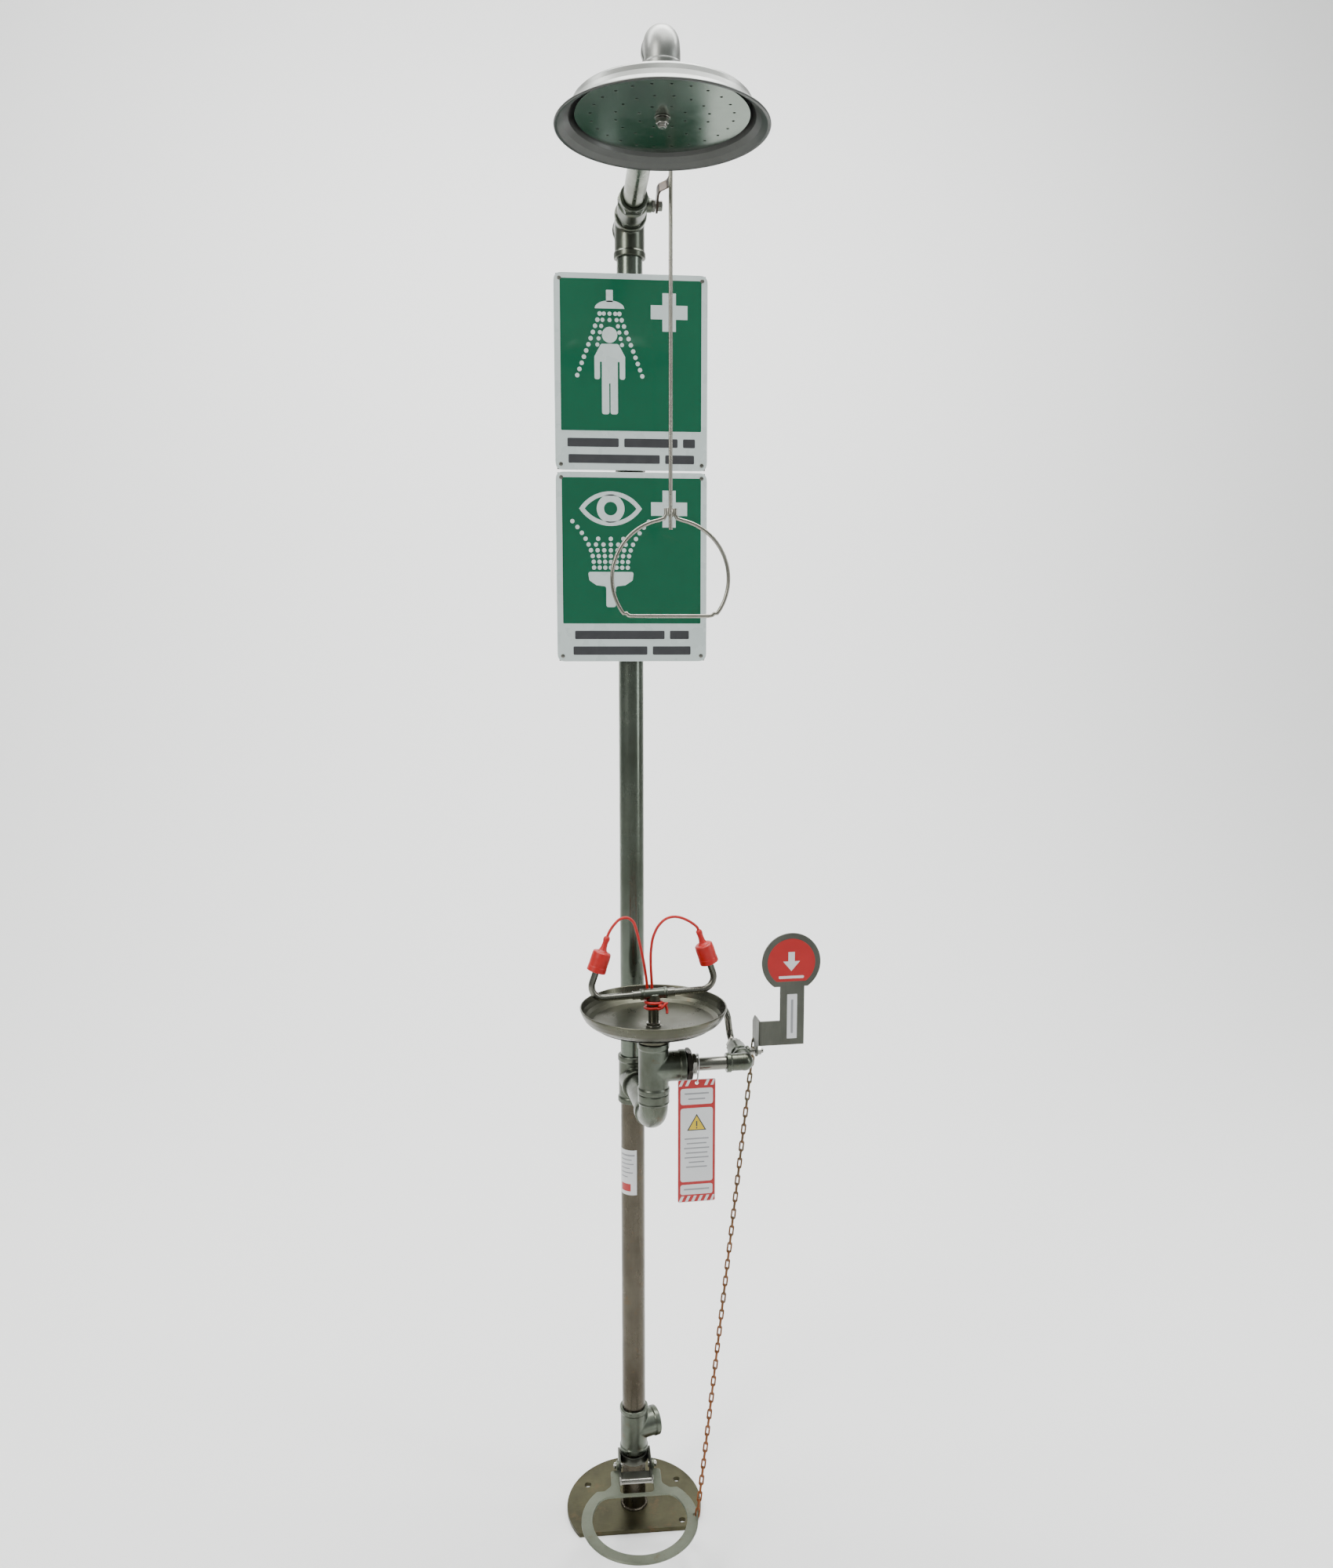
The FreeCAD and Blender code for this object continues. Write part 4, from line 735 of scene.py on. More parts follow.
def build_waste_branch():
    fixed("waste_nipple", pipe(POLE_R, BORE_R, 124.9, at(0, -30.05, WASTE_Z, "-y")), CAST,
          WASTE)
    bend = tube(route([(0, 0, 882 - WASTE_Z), (0, 0, 0), (0, 43, 0)], [26], 4), 23.6, steps=64)
    rings = [
        pipe(25.6, 0, 13, at(0, 0, 31), bevel=1.8),
        pipe(25.6, 0, 13, at(0, 30, 0, "y"), bevel=1.8),
        ring(24.6, 1.6, at(0, 0, 29)),
        ring(24.6, 1.6, at(0, 28.5, 0, "y")),
    ]
    hollow = [bore(SOCKET_R, 16, at(0, 29, 0, "y")), bore(BORE_R, 14, at(0, 0, 32))]
    fixed("waste_elbow", cast([bend] + rings, hollow, 0.9, 3), CAST,
          WASTE_BOWL @ Matrix.Translation((0, 0, WASTE_Z)))
    fixed("bowl_tee", fitting(FEED_Z, "x", 52, 43, 43, False), CAST, FEED)
    bush = joined(
        pipe(21.2, 10.7, 15, feed_at(37.5, 0, "x")),
        hexagon(49, 9.5, 10.7, feed_at(52.3, 0, "x") @ Matrix.Rotation(math.radians(30), 4, "Z")),
    )
    fixed("branch_bushing", bush, BUSH, FEED)


# ------------------------------------------------------------------ feed line, valve and paddle
def feed_point(u, w, z):
    return FEED @ Vector((u, w, z))


def build_feed_line():
    fixed("feed_pipe", pipe(10.65, 7.9, 103, feed_at(30, 0, "x")), PIPE_X, FEED)
    adds = [
        pipe(14.2, 0, 30, feed_at(121, 0, "x"), bevel=1), pipe(16.2, 0, 8, feed_at(120, 0, "x"), bevel=1.2),
        ball(14.8, feed_at(VALVE_U, 0)), pipe(14.2, 0, 22, feed_at(VALVE_U, 0, "y"), bevel=1),
        pipe(16.2, 0, 6, feed_at(VALVE_U, 16.5, "y"), bevel=1.2),
    ]
    cuts = [bore(10.7, 15, feed_at(119, 0, "x")), bore(9.55, 11, feed_at(VALVE_U, 13, "y"))]
    fixed("feed_elbow", cast(adds, cuts, 0.6, 4), CAST, FEED)
    middle = cast([
        pipe(16, 0, 30, feed_at(VALVE_U, 31, "y"), bevel=2),
        pipe(8.2, 0, 19, feed_at(VALVE_U, STEM_W, "x"), bevel=0.8),
        ball(13.5, feed_at(VALVE_U, STEM_W)),
    ], [bore(12.3, 24, feed_at(VALVE_U, 34, "y")), bore(4.02, 30, feed_at(VALVE_U, STEM_W, "x"))],
        0.6, 3)
    body = joined(
        middle,
        pipe(9.5, 6, 9.4, feed_at(VALVE_U, 13.5, "y")),
        hexagon(27, 9, 6, feed_at(VALVE_U, 22.8, "y")),
        hexagon(27, 10, 6, feed_at(VALVE_U, 60, "y")),
        pipe(9.5, 6.05, 8, feed_at(VALVE_U, 68, "y")),
        lathe([(8.2, 0), (9.4, 0), (9.4, 3.2), (8.2, 3.2)], feed_at(165.6, STEM_W, "x")),
    )
    fixed("eyewash_valve_body", body, CAST, FEED)
    nuts = joined(
        hexagon(32, 8, 10.7, feed_at(62, 0, "x")),
        hexagon(22, 9, 6.05, feed_at(VALVE_U, 76.2, "y")),
        ferrule(feed_at(VALVE_U, 85.2, "y")),
    )
    fixed("feed_line_nuts", nuts, BRIGHT, FEED)
    boss = joined(
        hexagon(22, 9, 6.05, at(34.2, 0, BOSS_Z, "x")),
        ferrule(at(43.2, 0, BOSS_Z, "x")),
    )
    fixed("boss_nut", boss, BRIGHT)
    points = [(28.7, 0, BOSS_Z), (112, 0, BOSS_Z), feed_point(143, 102, 984),
              feed_point(VALVE_U, 108, FEED_Z),
              feed_point(VALVE_U, 69.2, FEED_Z)]
    fixed("feed_tube", tube(route(points, [26, 22, 20], 3), 6, 4.5, 32), PIPE_X)
    gland = pipe(6, 4, 6, feed_at(170.2, STEM_W, "x"))
    shower_gland = hexagon(17, 5, 4.55, at(30.7, LEVER_Y, ARM_Z, "x"))
    fixed("gland_nuts", joined(gland.moved(FEED), shower_gland), BRIGHT)
    build_paddle()


def build_paddle():
    """Bent sheet: flange on the stem, foot and strip in front, round push plate on top."""
    gap = math.degrees(math.asin(math.sqrt(50 ** 2 - 41 ** 2) / 50))
    disc = circle(*PUSH_CENTRE, 50, 120, -90 + gap, 270 - gap)
    front = disc + [(216, 1042), (216, 984), (183.4, 984), (183.4, 942), (257.5, 942), (257.5, 1042)]
    stand_up = frontal(0, 23, 0)
    sheet = plate([front], 3, stand_up, 0.4)
    flange_points = [
        (22, 984), (56, 984), (68, 972), (68, 938), (65, 935), (58, 935), (55.5, 933), (55.5, 925),
    ] + circle(STEM_W, FEED_Z, 9.5, 24, 0, -180) + [(36.5, 936), (22, 942)]
    side = sideways(180.5, 0, 0)
    flange = plate([flange_points, circle(STEM_W, FEED_Z, 4, 32), circle(61.5, 940.5, 3.2, 24)], 3, side, 0.4)
    bend = lathe([(0.2, 942.2), (3, 942.2), (3, 983.8), (0.2, 983.8)], at(183.5, 23, 0), 24, 0.0, 180, 90)
    piece("push_paddle", joined(sheet, flange, bend), SHEET, "push_paddle", ["push_paddle"],
          FEED)
    prints = [
        (circle(*PUSH_CENTRE, 40.5, 110, -52, 232), 0.02, 0.03, 0),
        (arrow(234.5, 1086, 30), 0.2, 0.02, 1),
        (block(213, 1056, 43, 4.5, 2), 0.2, 0.02, 1),
        (block(228, 953, 17, 76, 1), 0.02, 0.03, 1),
        (block(234.5, 962, 4, 58, 1.5), 0.2, 0.02, 2),
    ]
    graphics = [
        plate([outline], 0.2, Matrix.Translation((0, -3 - lift, 0)) @ stand_up, bevel).painted(slot)
        for outline, lift, bevel, slot in prints
    ]
    piece("paddle_stickers", joined(*graphics), [RED_PRINT, CARD, PALE], "push_paddle", (), FEED)
    nut = joined(
        hexagon(13, 6.5, 3.98, feed_at(183.6, STEM_W, "x")),
        pipe(8.2, 4.0, 1.0, feed_at(182.9, STEM_W, "x"), bevel=0.2),
    )
    piece("paddle_nut", nut, BRIGHT, "push_paddle", ["paddle_nut"], FEED)


def arrow(x, y, size):
    """A plain downward arrow, standing for a push."""
    half = size / 2
    return [
        (x - half * 0.36, y + half), (x + half * 0.36, y + half), (x + half * 0.36, y - half * 0.05),
        (x + half * 0.95, y - half * 0.05), (x, y - half * 1.15), (x - half * 0.95, y - half * 0.05),
        (x - half * 0.36, y - half * 0.05),
    ]


# ------------------------------------------------------------------ bowl and spray
def build_bowl():
    profile = [
        (119, 1027), (118.4, 1024), (116, 1018), (112, 1011), (107, 1006), (99, 1001.6), (60, 998), (11, 993),
        (11, 994.6), (60, 999.6), (98.4, 1003.2), (105.6, 1007.2), (110, 1012), (113.6, 1018.6),
        (115.4, 1024),
        (116.4, 1027.2), (117.8, 1028),
    ]
    fixed("eyewash_bowl", lathe(profile, WORLD, 160, 1.4), BOWL_STEEL, BOWL)
    funnel = [(97, 999.2), (60, 985.5), (26, 974.2), (24.6, 968.1), (20, 968.1), (20, 975), (58, 986.5),
              (94, 999)]
    fixed("bowl_funnel", lathe(funnel, WORLD, 128, 2.0), BOWL_STEEL, BOWL)
    riser = joined(
        pipe(8.5, 6, 113, feed_at(0, 0)),
        ball(10.5, feed_at(0, 0)),
        pipe(10.5, 6, 29.8, feed_at(0, 0, "x")),
    )
    fixed("supply_riser", riser, PIPE_X, FEED)
    nut = joined(pipe(12.5, 8.55, 1.6, at(0, 0, 994.8)), hexagon(22, 5.0, 8.55, at(0, 0, 996.3)))
    fixed("riser_nut", nut, BRIGHT, turned(BOWL_X, BOWL_Y, 0, 20))


LEAN = math.radians(19)
BEND = 110


def arm_point(side, distance):
    return Vector((side * (BEND - distance * math.sin(LEAN)), 0, SPRAY_Z + distance * math.cos(LEAN)))


def arm_frame(side, distance):
    """Z along the outlet, from the point at that distance past the bend."""
    point = arm_point(side, distance)
    return Matrix.Translation(point) @ Matrix.Rotation(-side * LEAN, 4, "Y")


def build_spray():
    tee = cast([
        pipe(8.4, 0, 44, at(-22, 0, SPRAY_Z, "x"), bevel=1),
        pipe(9.2, 0, 5, at(-22, 0, SPRAY_Z, "x"), bevel=0.8),
        pipe(9.2, 0, 5, at(17, 0, SPRAY_Z, "x"), bevel=0.8), pipe(10.6, 0, 19, at(0, 0, 1029), bevel=1),
    ], [bore(7.05, 9, at(-23.5, 0, SPRAY_Z, "x")), bore(7.05, 9, at(14.9, 0, SPRAY_Z, "x")),
        bore(8.55, 11, at(0, 0, 1027))], 0.45, 3)
    fixed("spray_tee", tee, CAST, SPRAY)
    arms = []
    nozzles = []
    for side in (-1, 1):
        points = [(side * 15.2, 0, SPRAY_Z), (side * BEND, 0, SPRAY_Z), arm_point(side, 62)]
        arms.append(tube(route(points, [20], 4), 5.4, 3.9, 32))
        arms.append(pipe(7, 5.3, 20, at(side * 15.2, 0, SPRAY_Z, "x" if side > 0 else "-x"), bevel=0.6))
        nozzles.append(lathe([
            (5.5, 0), (8.4, 0), (8.4, 16), (10.6, 22), (4.2, 22), (4.2, 10), (5.5, 10),
        ], arm_frame(side, 52), 48, 0.4))
    fixed("spray_arms", joined(*arms), PIPE_X, SPRAY)
    fixed("spray_nozzles", joined(*nozzles), BRIGHT, SPRAY)
    for side, name in ((-1, "left"), (1, "right")):
        cap = lathe([
            (11.2, 0), (15.6, 0), (15.4, 8), (15.0, 9), (15.2, 24), (14.7, 31.5), (12.8, 33.2), (9.2, 33.4),
            (6.4, 36), (5.1, 40), (4.5, 46), (4.5, 50), (5.0, 51.5), (5.3, 53.6), (4.9, 56.5), (3.4, 58.6),
            (0, 58.8), (0, 29), (11.2, 29),
        ], arm_frame(side, 47), 56, 0.9)
        piece(name + "_dust_cap", cap, RED, name + "_dust_cap", [name + "_dust_cap"], SPRAY)
    build_straps()
    loops = []
    for z, tilt in ((1034.3, (0.06, 0.05, 1)), (1026.0, (-0.05, 0.08, 1))):
        turn = Vector((0, 0, 1)).rotation_difference(Vector(tilt)).to_matrix().to_4x4()
        loops.append(ring(13.7, 2.3, Matrix.Translation((0, 0, z)) @ turn))
    ends = [
        tube(route([(13, -5, 1034), (18, -8, 1030), (20, -10, 1022), (19, -13, 1017)], [7, 8]), 2.2,
             steps=16),
        tube(route([(3, -14.5, 1026), (9, -17, 1028), (15, -16, 1034), (19, -15, 1035)], [8, 8]), 2.2,
             steps=16),
        ball(3.6, Matrix.Translation((7, -15, 1030.5)), 24),
    ]
    fixed("strap_knot", joined(*(loops + ends)), RED, SPRAY)


STRAP_ROUTES = {
    "left_strap": [
        arm_point(-1, 100.3), arm_point(-1, 112.3),
        (-65.4, 0.5, 1165.6), (-55.0, 1.5, 1175.0), (-42.0, 3.0, 1176.1), (-31.4, 4.5, 1167.8),
        (-25.2, 7.0, 1148.8), (-19.0, 10.0, 1125.0), (-12.5, 13.0, 1097.0), (-7.5, 15.2, 1068.0),
        (-5.0, 15.6, 1040.6),
    ],
    "right_strap": [
        arm_point(1, 100.3), arm_point(1, 110.6),
        (63.0, 0.5, 1161.6), (48.5, 1.5, 1169.5), (34.0, 3.0, 1172.5), (20.0, 4.5, 1168.5),
        (8.5, 7.0, 1156.0), (1.0, 9.5, 1137.0), (-1.5, 12.0, 1112.0), (-0.5, 14.0, 1085.0),
        (1.5, 15.4, 1060.0), (2.2, 15.8, 1040.6),
    ],
}


def build_straps():
    """Straps laid as tubes from each cap down to the knot."""
    for name, points in STRAP_ROUTES.items():
        line = [SPRAY @ p for p in route(points, cord_radii(points), 6)]
        strap = piece(name, tube(line, 2.3, steps=20), RED, None, [name])
        [c * MM for c in line[0]]
        [c * MM for c in line[-1]]
        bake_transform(strap)
        [c * MM for c in line[0]]
        [[c * MM for c in p] for p in line]


# ------------------------------------------------------------------ shower valve, arm and head
def build_shower():
    z = ARM_Z
    adds = [
        pipe(CAST_R, 0, 59, at(0, 0, z - 59), bevel=1.5), pipe(BAND_R, 0, 10, at(0, 0, z - 59), bevel=1.6),
        pipe(CAST_R, 0, 83, at(0, -36, z, "y"), bevel=1.5),
        pipe(BAND_R, 0, 10, at(0, -36, z, "y"), bevel=1.6),
        pipe(BAND_R, 0, 10, at(0, 37, z, "y"), bevel=1.6),
    ]
    cuts = [
        bore(BORE_R, 59, at(0, 0, z - 60)), bore(SOCKET_R, 16, at(0, 0, z - 60)),
        bore(17.1, 82, at(0, -38, z, "y")), bore(SOCKET_R, 16, at(0, 32.5, z, "y")),
    ]
    fixed("supply_inlet_tee", cast(adds, cuts), CAST)
    middle = cast([
        pipe(23.5, 0, 46, at(0, -49, z, "-y"), bevel=3.5),
        pipe(10.4, 0, 30.5, at(0, LEVER_Y, z, "x"), bevel=0.8),
        ring(23.2, 1.2, at(0, -53, z, "y")), ring(23.2, 1.2, at(0, -91, z, "y")),
    ], [bore(17.9, 38, at(0, -56, z, "-y")), bore(4.57, 40, at(0, LEVER_Y, z, "x"))], 0.8, 3)
    body = joined(
        middle, pipe(17, 12.5, 13, at(0, -24, z, "-y")), hexagon(43, 13, 12.5, at(0, -36.3, z, "-y")),
        hexagon(43, 15, 16.9, at(0, -93, z, "-y")), pipe(22, 16.9, 6, at(0, -106, z, "-y"), bevel=1.4),
    )
    fixed("shower_valve_body", body, CAST)
    fixed("shower_arm", pipe(16.85, 13.65, 476, at(0, -99.05, z, "-y")), PIPE_Y)
    bend = tube(route([(0, 41, 0), (0, 0, 0), (0, 0, -38)], [24], 4), 20.5, steps=64)
    elbow = cast([bend, pipe(21.8, 0, 10, at(0, 32, 0, "y"), bevel=1.6),
                  pipe(21.2, 0, 8, at(0, 0, -38), bevel=1.2)],
                 [bore(16.9, 14, at(0, 29.5, 0, "y")), bore(13.6, 20, at(0, 0, -39))], 0.8, 3)
    fixed("shower_elbow", elbow, ELBOW, Matrix.Translation((0, HEAD_Y, z)))
    build_lever()
    build_head()


def build_lever():
    """The cranked lever, its rubbed dark finish, its nut and stem."""
    steps = [(-11, 37), (24, 37), (30, 39.4), (37, 51.8), (43, 54.5), (161, 54.5)]
    line = soft(steps, 5, 5, closed=False)
    verts = []
    faces = []
    wide = 11.0
    rows = []
    for s, x in line:
        if s < 0:
            half = math.sqrt(max(wide ** 2 - s ** 2, 0.02))
        elif s > LEVER_REACH:
            half = math.sqrt(max(wide ** 2 - (s - LEVER_REACH) ** 2, 0.02))
        else:
            half = wide
        rows.append((s, x, half))
    extra = []
    for i in range(1, 9):
        s = -11 + 11 * (1 - math.cos(math.pi / 2 * i / 9))
        extra.append((s, 37.0, math.sqrt(max(wide ** 2 - s ** 2, 0.02))))
        t = LEVER_REACH + 11 * math.sin(math.pi / 2 * i / 9)
        extra.append((t, 54.5, math.sqrt(max(wide ** 2 - (t - LEVER_REACH) ** 2, 0.02))))
    rows = sorted(rows + extra + [(LEVER_REACH, 54.5, wide), (0, 37.0, wide)])
    for s, x, half in rows:
        for offset in (0.0, 3.0):
            verts.append((x + offset, -s, -half))
            verts.append((x + offset, -s, half))
    for i in range(len(rows) - 1):
        a = i * 4
        b = a + 4
        faces += [(a, b, b + 1, a + 1), (a + 2, a + 3, b + 3, b + 2), (a, a + 2, b + 2, b),
                  (a + 1, b + 1, b + 3, a + 3)]
    last = (len(rows) - 1) * 4
    faces += [(0, 1, 3, 2), (last, last + 2, last + 3, last + 1)]
    place = Matrix.Translation((0, LEVER_Y, ARM_Z)) @ Matrix.Rotation(math.radians(-LEVER_TILT), 4, "X")
    piece("shower_lever", Solid(verts, faces), DARK, "shower_lever", ["shower_lever"], place)
    nut = hexagon(14, 7, 4.52, at(40.15, LEVER_Y, ARM_Z, "x"))
    piece("lever_nut", nut, BRIGHT, "shower_lever", ["lever_nut"])
    stem = pipe(4.5, 0, 33.6, at(14, LEVER_Y, ARM_Z, "x"), bevel=0.5)
    piece("shower_valve_stem", stem, BRIGHT, "shower_lever", ["shower_valve_stem"])
    tip_y = LEVER_Y - LEVER_REACH * math.cos(math.radians(LEVER_TILT))
    tip_z = ARM_Z + LEVER_REACH * math.sin(math.radians(LEVER_TILT))
    rod = tube(route([(63.5, tip_y, tip_z), (ROD_X, tip_y, tip_z), (ROD_X, tip_y, 1782)], [3.6], 6), 3,
               steps=24)
    piece("pull_rod", rod, WIRE, "pull_rod", ["pull_rod"])
    centre = 1708
    low = math.degrees(math.asin(57 / 90))
    corner = math.sqrt(90 ** 2 - 57 ** 2)
    right = [(ROD_X + 90 * math.cos(math.radians(a)), tip_y, centre + 90 * math.sin(math.radians(a)))
             for a in range(78, -int(low) + 2, -3)]
    left = [(2 * ROD_X - x, y, z) for x, y, z in right][::-1]
    curve = [(56.7, tip_y, centre + 106), (56.5, tip_y, centre + 97), (59.5, tip_y, centre + 91)] + right
    bottom = [
        (ROD_X + corner - 1.5, tip_y, centre - 53), (ROD_X + corner - 4.5, tip_y, centre - 56),
        (ROD_X + corner - 9, tip_y, centre - 57), (ROD_X, tip_y, centre - 57),
        (ROD_X - corner + 9, tip_y, centre - 57), (ROD_X - corner + 4.5, tip_y, centre - 56),
        (ROD_X - corner + 1.5, tip_y, centre - 53),
    ]
    ending = [(39.5, tip_y, centre + 91), (42.5, tip_y, centre + 97), (42.3, tip_y, centre + 106)]
    handle = joined(
        tube(curve + bottom + left + ending, 3, steps=20),
        weld_blob((53.1, tip_y, centre + 100)), weld_blob((45.9, tip_y, centre + 101)),
    )
    piece("pull_handle", handle, WIRE, "pull_rod", ["pull_handle"])


def weld_blob(where):
    profile = [(2.6 * math.sin(math.pi * i / 12), -6.5 * math.cos(math.pi * i / 12)) for i in range(13)]
    return lathe(profile, Matrix.Translation(where), 20, 0)


def build_head():
    place = Matrix.Translation((0, HEAD_Y, 0))
    top = ARM_Z - 38.2
    profile = [
        (13.6, top), (20.5, top), (20.8, top - 5), (23.4, top - 7), (23.6, top - 10.5), (27, top - 13.4),
        (34, top - 16), (48, top - 19.5), (70, top - 25.0), (95, 2222.6), (99.6, 2221), (102.6, 2218),
        (104.6, 2212), (108, 2205.5), (113.5, 2199.6), (120, 2196.2), (123.2, 2195.6), (123.9, 2194.2),
        (122.8, 2193), (119.6, 2193.6), (112.6, 2198), (107, 2203.6), (103.4, 2211.4), (101.4, 2216.8),
        (98.8, 2219.4), (94.6, 2221), (47.5, top - 21), (28, top - 17), (13.6, top - 14),
    ]
    fixed("shower_head", lathe(profile, WORLD, 180, 1.1), HEAD, place)
    holes = [circle(0, 0, 4.1, 32)]
    for count, radius in ((8, 28), (16, 54), (24, 82)):
        for i in range(count):
            angle = math.tau * i / count + radius * 0.01
            holes.append(circle(radius * math.cos(angle), radius * math.sin(angle), 1.7, 14))
    disc = plate([circle(0, 0, 100, 160)] + holes, 1.2, Matrix.Translation((0, 0, 2206)), 0.15)
    fixed("shower_face_plate", disc, FACE, place)
    bolt = joined(
        pipe(4.0, 0, 44, at(0, 0, 2194), bevel=0.6), pipe(13.5, 0, 3, at(0, 0, 2235)),
        pipe(9, 4.0, 1.2, at(0, 0, 2204.6), bevel=0.2),
        *[ring(3.95, 0.22, at(0, 0, 2194.8 + 0.9 * i), 32) for i in range(2)],
    )
    fixed("face_plate_bolt", bolt, BRIGHT, place)
    nut = joined(hexagon(13, 6, 4.03, at(0, 0, 2198.4)), lathe([(4.03, 0), (5, 0), (5.9, 3), (4.03, 3)],
                                                              at(0, 0, 2195.4), 40, 0.3))
    fixed("face_plate_nut", nut, BRIGHT, place)


# ------------------------------------------------------------------ signs
SIGN_FACE = frontal(0, -32, 0)


def on_sign(outlines, layer, slot):
    lift = Matrix.Translation((0, -2.0 - 0.16 * layer, 0))
    return plate(outlines, 0.15, lift @ SIGN_FACE, 0.02).painted(slot)


def cross(x, y, size, arm):
    s = size / 2
    a = arm / 2
    return [(x - a, y + s), (x + a, y + s), (x + a, y + a), (x + s, y + a), (x + s, y - a), (x + a, y - a),
            (x + a, y - s), (x - a, y - s), (x - a, y - a), (x - s, y - a), (x - s, y + a), (x - a, y + a)]


def sign_base(low):
    return [
        plate([block(-125, low, 250, 310, 13)] + [
            circle(x, z, 2.1, 20) for x in (-116, 116) for z in (low + 9, low + 301)
        ], 2, SIGN_FACE, 0.25),
        on_sign([block(-115, low + 63, 230, 238, 2)], 0, 1),
    ]


def bars(low, rows):
    """Plain dark bars where a caption would stand."""
    out = []
    for row, widths in enumerate(rows):
        total = sum(widths) + 9 * (len(widths) - 1)
        x = -total / 2
        for width in widths:
            out.append(on_sign([block(x, low + 37 - 26 * row, width, 14, 2)], 0, 2))
            x += width + 9
    return out


def shower_symbol(low, x):
    """A rose, its fan of drops and a standing figure."""
    rose = [(x - 24, low + 255), (x + 24, low + 255)] + circle(x, low + 255, 24, 24, 8, 172)[1:-1]
    rose = [(px, low + 255 + (py - low - 255) * 0.52) for px, py in rose]
    arm = [
        (x - 25, low + 180), (x - 25, low + 144), (x - 16, low + 144), (x - 16, low + 172),
        (x - 13, low + 172),
        (x - 13, low + 89), (x - 1, low + 89), (x - 1, low + 138), (x + 1, low + 138), (x + 1, low + 89),
        (x + 13, low + 89), (x + 13, low + 172), (x + 16, low + 172), (x + 16, low + 144),
        (x + 25, low + 144),
        (x + 25, low + 180), (x + 14, low + 200), (x - 14, low + 200),
    ]
    shapes = [[block(x - 5.5, low + 265, 11, 19, 1)], [rose], [circle(x, low + 214, 12.5, 36)],
              [soft(arm, 4, 5)]]
    for row in range(11):
        spread = 16 + row * 3.7
        height = low + 247 - row * 9.7
        shapes.append([circle(x - spread, height, 3.6, 14)])
        shapes.append([circle(x + spread, height, 3.6, 14)])
        if row < 6:
            shapes.append([circle(x - spread * 0.58, height, 3.3, 14)])
            shapes.append([circle(x + spread * 0.58, height, 3.3, 14)])
        if row < 2:
            shapes.append([circle(x, height, 3.3, 14)])
    return shapes


def eye_symbol(low, x):
    """An eye above a fountain of drops and its basin."""
    middle = low + 251
    lids = circle(x, middle - 34, 62, 30, 33, 147) + circle(x, middle + 34, 62, 30, 213, 327)
    inner = circle(x, middle - 33, 54, 30, 38, 142) + circle(x, middle + 33, 54, 30, 218, 322)
    basin = [
        (x - 38, low + 148), (x + 38, low + 148), (x + 36, low + 134), (x + 24, low + 126),
        (x + 8, low + 124),
        (x + 8, low + 90), (x - 8, low + 90), (x - 8, low + 124), (x - 24, low + 126), (x - 36, low + 134),
    ]
    shapes = [[lids, inner], [circle(x, middle, 23, 48), circle(x, middle, 11, 36)], [soft(basin, 4, 4)]]
    for row in range(9):
        height = low + 155 + row * 9.4
        spread = 28 + row * row * 0.55
        count = 7 if row < 5 else 5 if row < 6 else 2
        for i in range(count):
            across = -1 + 2 * i / (count - 1)
            shapes.append([circle(x + across * spread, height, 3.6, 14)])
    return shapes


def build_signs():
    for name, low, symbol, rows in (
        ("shower_sign", SHOWER_SIGN_Z, shower_symbol, [[84, 88, 20], [150, 48]]),
        ("eyewash_sign", EYEWASH_SIGN_Z, eye_symbol, [[150, 32], [124, 64]]),
    ):
        shapes = sign_base(low) + bars(low, rows)
        shapes.append(on_sign([cross(62, low + 251, 60, 22)], 1, 0))
        for outlines in symbol(low, -35):
            shapes.append(on_sign(outlines, 1, 0))
        fixed(name, joined(*shapes), [WHITE, GREEN, INK])
    rivets = []
    brackets = []
    for low in (SHOWER_SIGN_Z, EYEWASH_SIGN_Z):
        for z in (low + 9, low + 301):
            for x in (-116, 116):
                rivets.append(lathe([(0, 0), (3.4, 0), (3.1, 0.9), (1.4, 1.3), (0, 1.3)], at(x, -34, z, "-y"),
                                    28, 0.2))
                rivets.append(pipe(2.0, 0, 6.2, at(x, -34, z, "y"), 20, 0.2))
            brackets.append(brick((244, 16, 3), frontal(-122, -31.9, z - 8, 1)))
            brackets.append(pipe(25, 21.5, 14, at(0, 0, z - 7), bevel=0.6))
            brackets.append(brick((24, 14, 6.2), frontal(-12, -29.6, z - 7, 1)))
    fixed("sign_rivets", joined(*rivets), BRIGHT)
    fixed("sign_brackets", joined(*brackets), SHEET)


